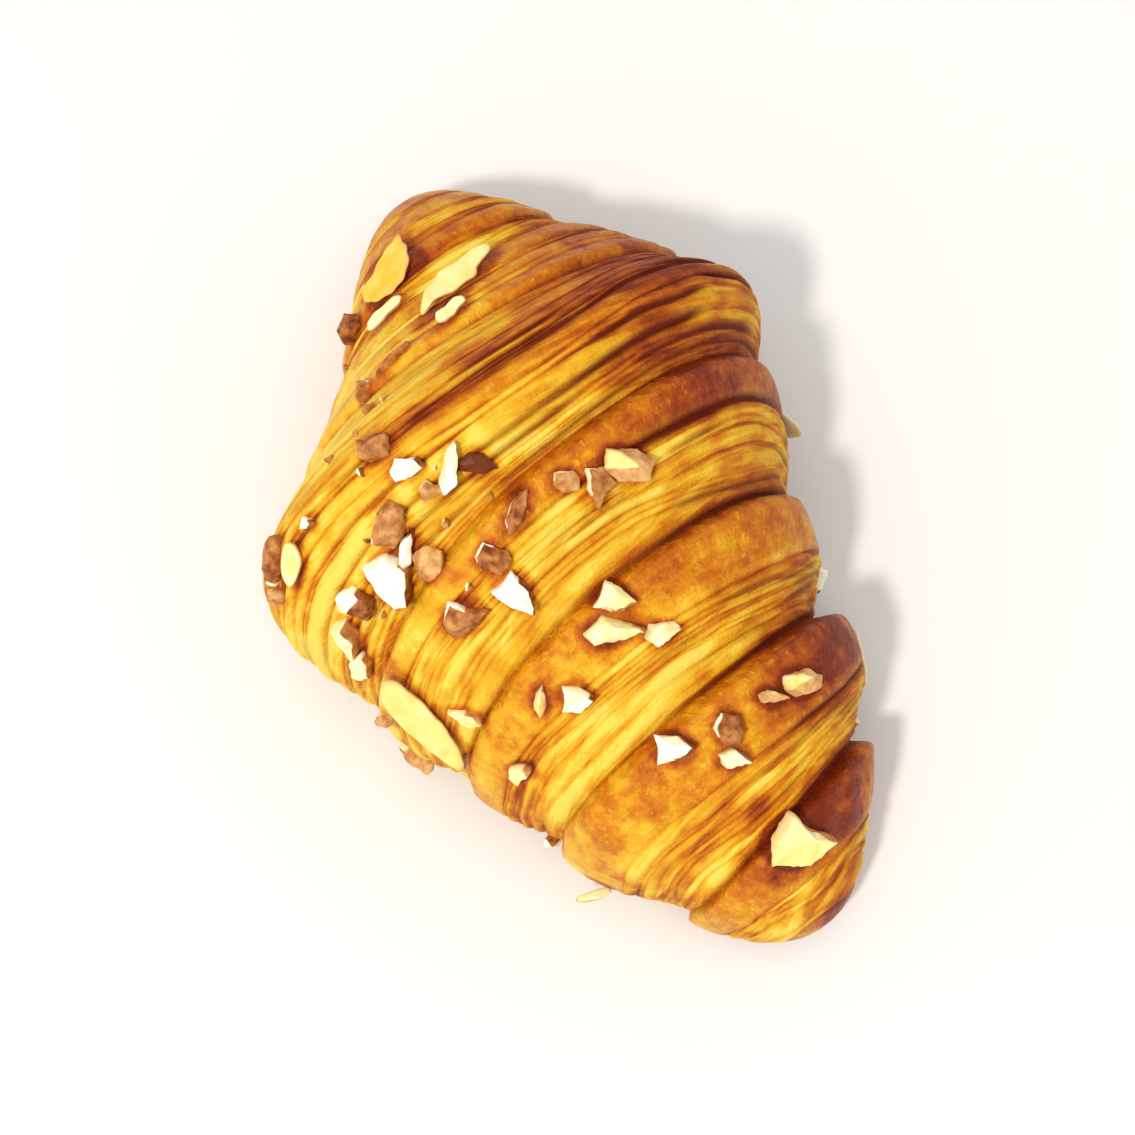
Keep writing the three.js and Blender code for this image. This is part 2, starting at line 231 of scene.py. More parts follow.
# %% Seams and the crust between them
def seam_at(k, angle):
    """Where ring k starts: the seam's place on top, moved by skew sin(angle) + bow (1 - cos(angle))."""
    if k == 0:
        return np.full_like(angle, -HALF_LENGTH)
    if k == RING_COUNT:
        return np.full_like(angle, HALF_LENGTH)
    along, skew, bow = SEAMS[k - 1][:3]
    return along + skew * np.sin(angle) + bow * (1 - np.cos(angle))


def seam_depth(k, angle):
    """How deep the seam is where ring k starts: from its near depth to its far depth by sin(angle)."""
    if k in (0, RING_COUNT):
        return np.zeros_like(angle)
    near, far = SEAMS[k - 1][3:]
    return (near + far) / 2 + (far - near) / 2 * np.sin(angle)


def sink_at(k, share, angle):
    """How far the crust lies below the ring's full size, at a share of ring k, less the ring's swelling."""
    start_share = SHOULDER_SHARE if k > CROWN else CUT_EDGE_FROM
    end_share = SHOULDER_SHARE if k < CROWN else CUT_EDGE_FROM
    swell_share = (1 - share if k < CROWN else share) ** (1 if k == CROWN else PUFF_LEAN)
    down_to_start = seam_depth(k, angle) * (1 - ramp(0, start_share, share))
    down_to_end = seam_depth(k + 1, angle) * ramp(1 - end_share, 1, share)
    return down_to_start + down_to_end - PUFF * np.sin(math.pi * swell_share)


def horn_cap(along):
    """1 along the roll, falling to 0 at each end as a quarter of a superellipse."""
    t = along / HALF_LENGTH
    far = np.clip((FAR_HORN_ROUNDS_AT - t) / (1 + FAR_HORN_ROUNDS_AT), 0, 1)
    near = np.clip((t - NEAR_HORN_ROUNDS_AT) / (1 - NEAR_HORN_ROUNDS_AT), 0, 1)
    return (1 - far ** HORN_POWER) ** (1 / HORN_POWER) * (1 - near ** HORN_POWER) ** (1 / HORN_POWER)


def crust_point(along, sink, angle, raise_base=0.0):
    """A point of the crust: superellipse arcs above and below the belly, the lower one pressed flat at z = 0.

    `raise_base` lifts the pressed part a little, for the wrinkles of the underside.
    """
    cap = horn_cap(along)
    sunk = sink * cap
    height = height_at(along)
    belly = BELLY_LEVEL * height
    side, up = np.sin(angle), np.cos(angle)
    reach = half_width_at(along) * cap - sunk
    y = aside_at(along) + reach * np.sign(side) * np.abs(side) ** SIDE_SQUARENESS
    above = belly + ((height - belly) * cap - sunk) * np.abs(up) ** TOP_SQUARENESS
    below = belly - BASE_PRESS * (belly * cap - sunk) * np.abs(up) ** BASE_SQUARENESS
    pressed = np.maximum(below, raise_base)
    return np.stack(np.broadcast_arrays(along, y, np.where(up > 0, above, pressed)), -1)


for side, degrees in (("near side", -90), ("top", 0), ("far side", 90)):
    starts = [round(float(seam_at(k, math.radians(degrees))), 1) for k in range(1, RING_COUNT)]
    print("seams in mm along the roll,", side + ":", starts)

# %% [markdown]
# ## The layers
#
# Each ring is a row of strands that run round the roll: one wide strand of smooth skin, then the narrow
# edges of the layers. They could be a noise texture, but layers never cross, so here their widths are
# noise and their borders are the running sum of the widths: the strands swell, thin out and merge as real
# layers do. The mesh's rows then follow the strands, so that every groove is crisp.

# %% The strands of each ring, in millimetres on top of the roll
LAYER_WIDTHS = (0.5, 2.6)  # edges of single layers
CROWN_WIDTHS = (0.9, 5.0)  # strips of crust between the crown's cracks
CROWN_TURNS_AT = 4  # the crown's layers before this one face the short horn, the others the long one


def drawn_widths(count, limits, seed):
    """Widths between two limits, most of them narrow: the draw is squared."""
    low, high = limits
    return list(low + (high - low) * np.random.default_rng(seed).uniform(0, 1, count) ** 2)


# Width of each strand, and whether it is skin: the layers are on the side that faces away from the crown
STRANDS = {
    "short horn": ([6.5, 1.4, 4.0, 1.0, 2.4, 1.2, 3.6, 0.9], [1, 0, 1, 0, 0, 0, 1, 0]),
    "short shoulder": (
        drawn_widths(5, LAYER_WIDTHS, 11) + [4.2, 0.9, 2.4, 1.0, 4.0],
        [0] * 5 + [1, 0, 1, 0, 1],
    ),
    "crown": (
        drawn_widths(CROWN_TURNS_AT, LAYER_WIDTHS, 12)
        + drawn_widths(11, CROWN_WIDTHS, 13)
        + drawn_widths(5, LAYER_WIDTHS, 14),
        [0] * 20,
    ),
    "first step": ([7.5] + drawn_widths(10, LAYER_WIDTHS, 15), [1] + [0] * 10),
    "second step": ([10.0] + drawn_widths(9, LAYER_WIDTHS, 16), [1] + [0] * 9),
    "third step": ([11.5] + drawn_widths(9, LAYER_WIDTHS, 17), [1] + [0] * 9),
    "long horn": ([11.0] + drawn_widths(6, LAYER_WIDTHS, 18) + [2.0], [1] + [0] * 6 + [1]),
}
for ring_name, (widths, skins) in STRANDS.items():
    print(ring_name, "has", len(widths), "strands,", sum(skins), "of skin,", round(sum(widths), 1), "mm")

# %% The mesh's columns: angles round the roll, closer together where they show
SHOWN_COLUMNS = 140
UNDER_COLUMNS = 34
SHOWN_TO = math.radians(112)  # the columns are close from -112 to 112 degrees


def column_angles():
    """Even angles over the part that shows, then wider ones over the underside, once round."""
    shown = np.linspace(-SHOWN_TO, SHOWN_TO, SHOWN_COLUMNS, endpoint=False)
    under = np.linspace(SHOWN_TO, 2 * math.pi - SHOWN_TO, UNDER_COLUMNS, endpoint=False)
    return np.concatenate([shown, under])


ANGLE = column_angles()
print("the mesh has", len(ANGLE), "columns round the roll")
TURN = (ANGLE / (2 * math.pi)) % 1
NEARNESS = np.clip(-np.sin(ANGLE), 0, 1)  # 1 on the near side
FARNESS = np.clip(np.sin(ANGLE), 0, 1)  # 1 on the far side


def far_ramp(start, end):
    """0 on the near side, 1 on the far side and underneath, and a smooth step between two angles."""
    return ramp(math.radians(start), math.radians(end), ANGLE)


def bell(distance):
    """1 at distance 0, falling away on both sides as a bell curve: e to the power of minus its square."""
    return np.exp(-distance ** 2)


# %% Borders between the strands
WIDTH_WANDER = 0.60  # how much a layer swells and thins out round the roll
WANDER_CELLS = 8  # about one swelling every 30 mm on the crown
FRAY = 0.06  # how ragged the layers' edges are
FRAY_CELLS = 40  # about one notch every 6 mm on the crown
SKIN_STEADINESS = 0.8  # how much less the skin's width changes
SKIN_NARROWING = 0.15  # share by which the skin is narrower on the near side


def strand_borders(k):
    """Shares of ring k at which its strands start and end: the running sum of their widths at each angle."""
    widths, skins = STRANDS[RING_NAMES[k]]
    wander = strand_noise(len(widths), TURN, WANDER_CELLS, SEEDS["wander"] + k)
    fray = strand_noise(len(widths), TURN, FRAY_CELLS, SEEDS["fray"] + k)
    is_skin = np.array(skins)[:, None]
    change = (WIDTH_WANDER * wander + FRAY * fray) * (1 - SKIN_STEADINESS * is_skin)
    wide = np.array(widths)[:, None] * np.exp(change)
    wide = wide * (1 - SKIN_NARROWING * is_skin * NEARNESS * (len(set(skins)) > 1))
    edges = np.concatenate([np.zeros((1, len(ANGLE))), np.cumsum(wide, axis=0)])
    return edges / edges[-1]


# How deep the grooves between strands are, in millimetres: least, and most where the noise opens a crack
GROOVES = {
    "short horn": (0.0, 0.30),
    "short shoulder": (0.05, 0.45),
    "crown": (0.05, 0.85),
    "first step": (0.05, 0.55),
    "second step": (0.05, 0.45),
    "third step": (0.05, 0.45),
    "long horn": (0.05, 0.40),
}
CRACK_CELLS = 12  # a crack or a gap about every 20 mm on the crown
CRACK_GAIN, CRACK_BIAS = 1.6, 0.1  # the higher, the more of a border is cracked
NEAR_CRACKS = 0.35  # depth of the near side's cracks, as a share of the far side's
CRACKS_DEEPEN = (-25, 35)  # degrees between which they get deeper
LIPS_DEEPEN = (-5, 30)
# Depth of the groove in the seam itself at the start of each ring, on the near and the far side
SEAM_GROOVES = ((0, 0), (0.1, 0.3), (0.3, 0.5), (0.2, 0.35), (0.3, 0.8), (0.3, 0.9), (0.3, 0.9), (0, 0))
# Extra depth on the far side, where skin ends and layers begin
LIPS = {"first step": 1.0, "second step": 0.25, "third step": 0.25}


def groove_depths(k):
    """Groove depth at each border: slow noise between two limits, cut off so that cracks end in points."""
    widths, skins = STRANDS[RING_NAMES[k]]
    least, most = GROOVES[RING_NAMES[k]]
    noise = strand_noise(len(widths) + 1, TURN, CRACK_CELLS, SEEDS["crack"] + k)
    opening = np.clip(noise * CRACK_GAIN + CRACK_BIAS, 0, 1)
    far_side = far_ramp(*CRACKS_DEEPEN)
    depth = least + (most - least) * opening * (NEAR_CRACKS + (1 - NEAR_CRACKS) * far_side)
    for border, (near, far) in ((0, SEAM_GROOVES[k]), (-1, SEAM_GROOVES[k + 1])):
        depth[border] = near + (far - near) * far_side
    lip = LIPS.get(RING_NAMES[k], 0) * far_ramp(*LIPS_DEEPEN)
    for i in range(1, len(skins)):
        if skins[i] != skins[i - 1]:
            depth[i] += lip
    return depth


# %% [markdown]
# Along each strand the surface is a low rounded ridge. The side that lies on top of its neighbour ends in
# a crisp edge, and the side that comes out from under its other neighbour rises gently, as on roof tiles.
# The upper wraps are those towards the crown, so the tiles face away from it on both sides.

# %% Rows of one strand and their relief
SKIN_ROW_STEP = 0.42  # mm between rows on skin
LAYER_ROWS = 5
ROW_CROWDING = 0.8  # 0 for even rows, and under 1 so that none cross
UNDER_LIP_WIDTH = 0.42  # how far a groove reaches under the gentle side, in mm
EDGE_WIDTH = 0.16  # and on the crisp side
TILE_RISE = 0.16  # how much higher the crisp edge stands than the gentle one
BULGE = 0.14  # height of the ridge over its borders, for each mm of width
WIDEST_BULGE = 2.0  # mm of width after which a strand bulges no more


def strand_rows(width, is_last):
    """Shares of one strand's width at which the mesh has rows, closer together at its two borders."""
    count = max(LAYER_ROWS, round(width / SKIN_ROW_STEP))
    even = np.arange(count + (1 if is_last else 0)) / count
    return even - ROW_CROWDING * np.sin(2 * math.pi * even) / (2 * math.pi)


def strand_relief(share, width, start_depth, end_depth, faces_end):
    """Height across a strand: tilt and bulge, less two grooves that fade as bell curves of the distance."""
    from_start, from_end = share * width, (1 - share) * width
    start_reach = UNDER_LIP_WIDTH if faces_end else EDGE_WIDTH
    end_reach = EDGE_WIDTH if faces_end else UNDER_LIP_WIDTH
    start_reach = start_reach * (1 + start_depth)
    end_reach = end_reach * (1 + end_depth)
    groove = start_depth * bell(from_start / start_reach) + end_depth * bell(from_end / end_reach)
    tilt = TILE_RISE * (share - 0.5) * (1 if faces_end else -1)
    bulge = BULGE * np.minimum(width, WIDEST_BULGE) * (1 - (2 * share - 1) ** 2)
    return tilt + bulge - groove


SHADE_WIDTH = 0.26  # mm from a border that the painted shade of a shallow crack reaches
SHADE_SPREAD = 0.50  # and how much further for each mm of depth
SHADED_DEPTHS = (0.1, 0.8)  # mm, from a crack that gets no painted shade to one that is fully dark


def groove_shade(share, width, start_depth, end_depth):
    """How much a point lies in a crack, 0 to 1: near a border, and only as far as that border is deep. It is
    the share of painted shade that the crack gets.
    """
    near_start = bell(share * width / (SHADE_WIDTH + SHADE_SPREAD * start_depth))
    near_end = bell((1 - share) * width / (SHADE_WIDTH + SHADE_SPREAD * end_depth))
    return np.maximum(
        ramp(*SHADED_DEPTHS, start_depth) * near_start, ramp(*SHADED_DEPTHS, end_depth) * near_end
    )


LINE_WIDTH = 0.30  # mm, of the darker line along each border, painted shade of the groove


def line_shade(share, width):
    """How much a point lies on the thin darker line along a border, 0 to 1: painted shade of the groove."""
    return bell(np.minimum(share, 1 - share) * width / LINE_WIDTH)


# %% [markdown]
# ## How far each place is baked
#
# Colour follows the oven. The high skin is egg-washed and brown, deeper on the far side. The bare layers
# are butter-yellow to gold, palest on the near side, and the underside is an even brown from the tray.
# One number from 0, pale, to 1, dark, is kept at each point, and the material turns it into colour later.
# Part of it is painted light and shade: hollows, cracks, lines between layers and the edges of the wraps
# are darker, and raised layers, ridges and glints paler.

# %% Bake of skin and layers
BAKE_ANGLES = (-75, -35, 0, 35, 75)  # low on the near side, near, top, far, and low on the far side
SKIN_BAKE = {
    "short horn": (0.36, 0.56, 0.54, 0.44, 0.44),
    "short shoulder": (0.12, 0.26, 0.40, 0.72, 0.58),
    "first step": (-0.04, 0.30, 0.56, 0.92, 0.60),
    "second step": (0.34, 0.38, 0.38, 0.56, 0.58),
    "third step": (0.30, 0.50, 0.40, 0.92, 0.90),
    "long horn": (0.42, 0.58, 0.84, 1.00, 0.62),
}
# The layers' bake on the side towards the crown, next to the skin, and away from it, next to the seam
LAYER_BAKE = {
    "short horn": ((0.24, 0.50, 0.46, 0.46, 0.44), (0.22, 0.48, 0.42, 0.46, 0.44)),
    "short shoulder": ((0.10, 0.04, 0.20, 0.54, 0.54), (0.14, 0.00, 0.20, 0.52, 0.54)),
    "crown": ((-0.02, 0.00, 0.46, 0.84, 0.76), (-0.06, -0.02, 0.22, 0.46, 0.48)),
    "first step": ((-0.08, 0.02, -0.02, 0.34, 0.24), (0.06, 0.20, 0.12, 0.30, 0.22)),
    "second step": ((0.20, 0.12, 0.02, 0.26, 0.18), (0.20, 0.02, 0.14, 0.38, 0.34)),
    "third step": ((0.30, 0.06, 0.46, 0.40, 0.16), (0.24, 0.32, 0.30, 0.38, 0.32)),
    "long horn": ((0.42, 0.52, 0.62, 0.64, 0.24), (0.18, 0.12, 0.16, 0.24, 0.20)),
}
# The crown's middle, halfway between its two sides of layers
CROWN_MIDDLE_BAKE = (0.14, 0.20, 0.61, 0.84, 0.52)
# Shares of a ring between which its layers turn from their inner to their outer bake, and on the crown
# between which they turn to its middle's bake and on to the outer one
LAYERS_TURN = (0.3, 1.0)
CROWN_TURNS = ((0.08, 0.45), (0.42, 0.78))
UNDER_BAKE = 0.78
SHEAF_TINT = 0.30  # how much one sheaf of layers differs from the next
SHEAF_WIDTH = 3.2  # mm
SHEAF_CELLS = 13  # slow changes along a sheaf
STRAND_TINT = 0.17  # how much one strand differs from the next
TINT_CELLS = 20  # changes along a strand
SKIN_TINT = 0.3  # share of those changes that skin shows
SUNK_SHADE_TINT = 0.12  # painted light and shade: how much paler a layer is where it lies high, and darker where it lies low
RIDGE_HIGHLIGHT_TINT = 0.11  # painted highlight: how much paler a fine ridge is
GLINT_HIGHLIGHT_TINT = 0.06  # painted highlights: quick paler spots along a strand where its edge rises, which break its edge up
GLINT_CELLS = 64  # about one every 4 mm on the crown
FAR_EVENNESS = 0.65  # how much less the strands differ on the far side
HOLLOW_SHADE_BAKE = 0.50  # painted shade: the hollows between strands are at least this dark
HOLLOW_SHADE_REACH = 0.75  # share of the way to it
SEAM_SHARE = 0.045  # share of a ring at each seam that gets the hollows' painted shade
EDGE_SHADE_BAKE = 0.74  # painted shade: on the far side the crust beside a wrap's edge is at least this dark
EDGE_SHADE_WIDTH = 2.0  # mm from that edge
EDGE_SHADE_DEEPENS = (-20, 40)  # degrees between which it gets so dark
LINE_SHADE_BAKE = 0.20  # painted shade: how much darker the line between two layers is
LINE_MEAN, LINE_SWING = 0.75, 0.9  # how strong the lines are, and how much that changes along them
LINE_LIMITS = (0.1, 1.4)
SKIN_FADE_FROM = 0.78  # share of the skin after which it pales towards the layers
SKIN_FADE = 0.7


def bake_round(values):
    """Bake for each column: a smooth curve through five values round the roll, and the underside's own."""
    signed = (np.degrees(ANGLE) + 180) % 360 - 180
    return station_curve((-180, *BAKE_ANGLES, 180), (UNDER_BAKE, *values, UNDER_BAKE))(signed)


def strand_bake(k, is_skin, share_of_ring, share_of_strand):
    """Bake of a strand, by its kind and its place."""
    name = RING_NAMES[k]
    inner, outer = (bake_round(values) for values in LAYER_BAKE[name])
    if k == CROWN:
        middle = bake_round(CROWN_MIDDLE_BAKE)
        first_half = inner + (middle - inner) * ramp(*CROWN_TURNS[0], share_of_ring)
        return first_half + (outer - middle) * ramp(*CROWN_TURNS[1], share_of_ring)
    layers = inner + (outer - inner) * ramp(*LAYERS_TURN, 1 - share_of_ring if k < CROWN else share_of_ring)
    if not is_skin:
        return layers
    fade = ramp(SKIN_FADE_FROM, 1.0, share_of_strand) * (k > CROWN)
    skin = bake_round(SKIN_BAKE[name])
    return skin + SKIN_FADE * (layers - skin) * fade


def darkened(bake, share, level):
    """Bake moved by a share of the way up to a level, and never down."""
    return bake + share * np.clip(level - bake, 0, 1)


def edge_shade_mask(share, across, length, wide, skin_before, skin_after):
    """Mask of the painted shade beside a wrap's edge: 1 at the edge, falling away in mm, at the ring's two
    seams and where skin ends over a layer.
    """
    distance = np.minimum(share, 1 - share) * length
    if skin_before:
        distance = np.minimum(distance, across * wide)
    if skin_after:
        distance = np.minimum(distance, (1 - across) * wide)
    return bell(distance / EDGE_SHADE_WIDTH)


# %% The whole crust as rows by columns
SWELL_HEIGHT, SWELL_SIZE, SWELL_CELLS = 0.35, 7, 34  # mm high and across: soft lumps
BLISTER_HEIGHT, BLISTER_SIZE, BLISTER_CELLS = 0.10, 1.8, 120  # mm high and across: small blisters
SWELLS_ON_LAYERS = 0.4  # share of the swells' height on bare layers
CRINKLE_RISE, CRINKLE_SIZE, CRINKLE_CELLS = 0.12, 2.5, 90  # mm high and across: wrinkles of the underside
CRACKED_RISE = 0.35  # mm, how much higher a crack lies there
GLINT_RISE = 0.10  # mm, how much a layer's edge rises and falls every few millimetres
SHEET_RISE = 0.22  # mm, how much higher or lower one layer lies than the next
SHEET_CELLS = 9  # a layer comes up and goes under about every 25 mm on the crown
LINE_CELLS = 14  # a line fades and comes back about every 17 mm on the crown
RIDGE_SIZE = 0.8  # mm, from a fine ridge to the hollow beside it
RIDGE_CELLS = 26  # a fine ridge comes and goes about every 9 mm on the crown
RIDGE_RISE = 0.09  # mm
CARVED = 0.60  # mm, sunk everywhere so that the relief stays within the solid's size
NOISE_START = 60  # moves the roll's noise to rows above 0
NOISE_STEP = 30  # rows of noise from one ring's layers to the next ring's
GRAIN_STEP = 40.0  # mm of grain from one ring's layers to the next ring's, so that no streak crosses a seam


def ring_noise(k, count):
    """Noise along each of a ring's strands: tint, glint, rise, and how strong its baked lines are."""
    cells = {"tint": TINT_CELLS, "glint": GLINT_CELLS, "sheet": SHEET_CELLS, "line": LINE_CELLS}
    tint, glint, rise, line = (strand_noise(count, TURN, n, SEEDS[name] + k) for name, n in cells.items())
    return tint, glint, rise, np.clip(LINE_MEAN + LINE_SWING * line, *LINE_LIMITS)


def strand_surface(k, i, borders, depths, noises, length):
    """Strand i of ring k: share of the ring, relief, groove, bake and skin, each as rows by columns."""
    widths, skins = STRANDS[RING_NAMES[k]]
    is_skin = skins[i]
    tint, glint, rise, line = (noise[i] for noise in noises)
    across = strand_rows(widths[i], k == RING_COUNT - 1 and i == len(widths) - 1)[:, None]
    across = across[1:] if k == 0 and i == 0 else across
    share = borders[i] + across * (borders[i + 1] - borders[i])
    wide = (borders[i + 1] - borders[i]) * length
    faces_end = k > CROWN or (k == CROWN and i >= CROWN_TURNS_AT)
    relief = strand_relief(across, wide, depths[i], depths[i + 1], faces_end)
    groove = groove_shade(across, wide, depths[i], depths[i + 1])
    tint_share = 1 - FAR_EVENNESS * FARNESS
    # Painted highlight: where a glint lifts a layer's edge, the bake is paler.
    tints = (STRAND_TINT * tint - GLINT_HIGHLIGHT_TINT * glint) * tint_share * (SKIN_TINT if is_skin else 1)
    bake = strand_bake(k, is_skin, share, across) + tints
    # Painted shade: a darker line along each border between strands.
    bake = bake + LINE_SHADE_BAKE * line * line_shade(across, wide)
    if not is_skin:
        sheaf = roll_noise(share * length / SHEAF_WIDTH + NOISE_STEP * k, TURN, SHEAF_CELLS, SEEDS["sheaf"])
        ridges = roll_noise(share * length / RIDGE_SIZE + NOISE_STEP * k, TURN, RIDGE_CELLS, SEEDS["ridge"])
        glints = GLINT_RISE * glint * np.sin(math.pi * across)
        relief = relief + glints + SHEET_RISE * rise + RIDGE_RISE * ridges
        # Painted light and shade: higher layers and fine ridges are paler, lower ones darker.
        bake = bake + (SHEAF_TINT * sheaf - SUNK_SHADE_TINT * rise - RIDGE_HIGHLIGHT_TINT * ridges) * tint_share
    # Painted shade: the hollows between strands and at the seams are made darker.
    hollow_shade = np.maximum((2 * across - 1) ** 4, 1 - ramp(0, SEAM_SHARE, np.minimum(share, 1 - share)))
    bake = darkened(bake, HOLLOW_SHADE_REACH * np.minimum(line, 1) * hollow_shade, HOLLOW_SHADE_BAKE)
    # Painted shade: on the far side the crust beside each wrap's edge is made darker.
    beside = (0, *skins, 0)
    edge_shading = edge_shade_mask(share, across, length, wide, beside[i] > is_skin, beside[i + 2] > is_skin)
    bake = darkened(bake, far_ramp(*EDGE_SHADE_DEEPENS) * edge_shading, EDGE_SHADE_BAKE)
    return share, relief, groove, bake, np.full_like(share, is_skin)


def ring_surface(k):
    """Ring k: place along the roll, sink, groove, bake, skin and grain, each as rows by columns."""
    borders, depths = strand_borders(k), groove_depths(k)
    count = len(borders) - 1
    start, end = seam_at(k, ANGLE), seam_at(k + 1, ANGLE)
    length = (end - start)[None, :]
    noises = ring_noise(k, count)
    strands = [strand_surface(k, i, borders, depths, noises, length) for i in range(count)]
    share, relief, groove, bake, skin = (np.concatenate(rows) for rows in zip(*strands))
    along = start + share * length
    swells = roll_noise(along / SWELL_SIZE + NOISE_START, TURN, SWELL_CELLS, SEEDS["swell"])
    blisters = roll_noise(along / BLISTER_SIZE + NOISE_START, TURN, BLISTER_CELLS, SEEDS["blister"])
    swelling = SWELL_HEIGHT * swells * (SWELLS_ON_LAYERS + (1 - SWELLS_ON_LAYERS) * skin)
    lumps = swelling + BLISTER_HEIGHT * blisters * skin
    sink = sink_at(k, np.clip(share, 0, 1), ANGLE) - relief - lumps + CARVED
    return along, sink, groove, bake, skin, share * length + k * GRAIN_STEP


def whole_crust():
    """All rings' rows in one array of rows by columns by (x, y, z, groove, bake, skin, grain)."""
    along, sink, groove, bake, skin, grain = (
        np.concatenate(rows) for rows in zip(*(ring_surface(k) for k in range(RING_COUNT)))
    )
    angle = np.broadcast_to(ANGLE, along.shape)
    wrinkles = roll_noise(along / CRINKLE_SIZE + NOISE_START, TURN, CRINKLE_CELLS, SEEDS["crinkle"])
    crinkle = CRINKLE_RISE + CRINKLE_RISE * wrinkles + CRACKED_RISE * groove
    points = crust_point(along, sink, angle, raise_base=crinkle)
    return np.concatenate([points, np.stack([groove, bake, skin, grain], -1)], -1)


crust = whole_crust()
print("crust:", crust.shape[0], "rows by", crust.shape[1], "columns")

# %% [markdown]
# ## From arrays to meshes
#
# Every piece here is a closed surface of the same kind: a first pole, rows of points that each run once
# round, and a last pole. So one function makes them all, and a heap of like pieces is many such surfaces
# in one mesh. The extra channels become attributes, which the materials read.

# %% Closed surfaces
def closed_surfaces(name, first_poles, grids, last_poles, channels=(), grain=None):
    """A mesh of N closed surfaces from N poles, N grids of rows by columns, and N poles.

    Each row is joined to the next by quads and the poles by triangles. Where rows times columns points out
    of the surface, so do the faces. Points are (x, y, z, channels...) in millimetres.
    """
    count, rows, columns = grids.shape[:3]
    per_piece = rows * columns + 2
    grids = grids.reshape(count, rows * columns, -1)
    flat = np.concatenate([first_poles[:, None], grids, last_poles[:, None]], 1)
    flat = flat.reshape(count * per_piece, -1)
    i, j = np.meshgrid(np.arange(rows - 1), np.arange(columns), indexing="ij")
    here, there = 1 + i * columns + j, 1 + i * columns + (j + 1) % columns
    quads = np.stack([here, here + columns, there + columns, there], -1).reshape(-1, 4)
    j = np.arange(columns)
    first_fan = np.stack([np.zeros_like(j), 1 + j, 1 + (j + 1) % columns], -1)
    last_row = 1 + (rows - 1) * columns
    last_fan = np.stack([np.full_like(j, per_piece - 1), last_row + (j + 1) % columns, last_row + j], -1)
    offsets = (np.arange(count) * per_piece)[:, None, None]
    corners = np.concatenate([(faces[None] + offsets).reshape(-1) for faces in (quads, first_fan, last_fan)])
    quad_count, fan_count = count * len(quads), 2 * count * columns
    starts = np.concatenate([np.arange(quad_count) * 4, quad_count * 4 + np.arange(fan_count) * 3])
    mesh = bpy.data.meshes.new(name)
    mesh.vertices.add(len(flat))
    mesh.vertices.foreach_set("co", (flat[:, :3] * MM).astype(np.float32).ravel())
    mesh.loops.add(len(corners))
    mesh.loops.foreach_set("vertex_index", corners.astype(np.int32))
    mesh.polygons.add(len(starts))
    mesh.polygons.foreach_set("loop_start", starts.astype(np.int32))
    mesh.update(calc_edges=True)
    mesh.polygons.foreach_set("use_smooth", np.full(len(starts), True))
    for n, channel in enumerate(channels):
        attribute = mesh.attributes.new(channel, "FLOAT", "POINT")
        attribute.data.foreach_set("value", flat[:, 3 + n].astype(np.float32))
    if grain is not None:
        attribute = mesh.attributes.new("grain", "FLOAT_VECTOR", "POINT")
        attribute.data.foreach_set("vector", grain(flat).astype(np.float32).ravel())
    mesh.validate()
    piece = bpy.data.objects.new(name, mesh)
    bpy.context.scene.collection.objects.link(piece)
    print(name, "has", quad_count * 2 + fan_count, "triangles")
    return piece


# %% The crust as a mesh
GRAIN_COLUMN = 6  # where the crust's array holds the distance across the layers


def along_grain(flat):
    """Coordinates for patterns that follow the layers: distance across them, and Y and Z, in metres."""
    return np.stack([flat[:, GRAIN_COLUMN], flat[:, 1], flat[:, 2]], -1) * MM


def pole(row):
    """The middle of a row, with the row's mean channels, drawn out to the roll's very end."""
    middle = row.mean(axis=0)
    middle[0] = math.copysign(HALF_LENGTH, middle[0])
    return middle


first_pole, last_pole = pole(crust[0]), pole(crust[-1])
body = closed_surfaces(
    "baked_dough",
    first_pole[None],
    crust[None, :-1],
    last_pole[None],
    ("groove", "bake", "skin"),
    along_grain,
)
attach(body, "root")
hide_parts("croissant")

# %% [markdown]
# ## Materials
#
# A crust's colour is its bake. The mesh holds one number for it at each point, and patterns of noise, sized
# in millimetres, are added before a ramp turns the sum to colour. A painted picture would do too, but it
# would need the crust laid flat, and it would blur from close up.
#
# A material is a graph of nodes. One small function adds any node with its settings and links, so that
# each material below reads as a list of what the surface does. Colours are written as sRGB hex values, as
# a picture editor shows them, and turned to the linear values that Blender works in.

# %% Colours and nodes
def linear(hex_colour):
    """sRGB hex to linear red, green, blue and alpha."""
    parts = [int(hex_colour[i:i + 2], 16) / 255 for i in (1, 3, 5)]
    return [v / 12.92 if v <= 0.04045 else ((v + 0.055) / 1.055) ** 2.4 for v in parts] + [1.0]


def new_material(name):
    """An empty material and its graph of nodes."""
    material = bpy.data.materials.new(name)
    material.use_nodes = True
    material.node_tree.nodes.clear()
    return material, material.node_tree


def add(tree, kind, settings=(), stops=(), **inputs):
    """Adds a node: settings are its properties, stops are a colour ramp's, and inputs are values or links.

    A link is another node, which stands for its first output, or any one output of a node.
    """
    node = tree.nodes.new(kind)
    for key, value in dict(settings).items():
        setattr(node, key, value)
    for key, value in inputs.items():
        socket = node.inputs[int(key[1:])] if key[0] == "_" else node.inputs[key.replace("_", " ")]
        value = value.outputs[0] if isinstance(value, bpy.types.Node) else value
        if isinstance(value, bpy.types.NodeSocket):
            tree.links.new(value, socket)
        else:
            socket.default_value = value
    elements = node.color_ramp.elements if stops else ()
    while len(elements) < len(stops):
        elements.new(0.5)
    for element, (place, colour) in zip(elements, dict(stops).items()):
        element.position = place
        element.color = linear(colour)
    return node


def per_metre(size):
    """A texture's scale for patches of about `size` millimetres, on coordinates in metres."""
    return 1 / (size * MM)


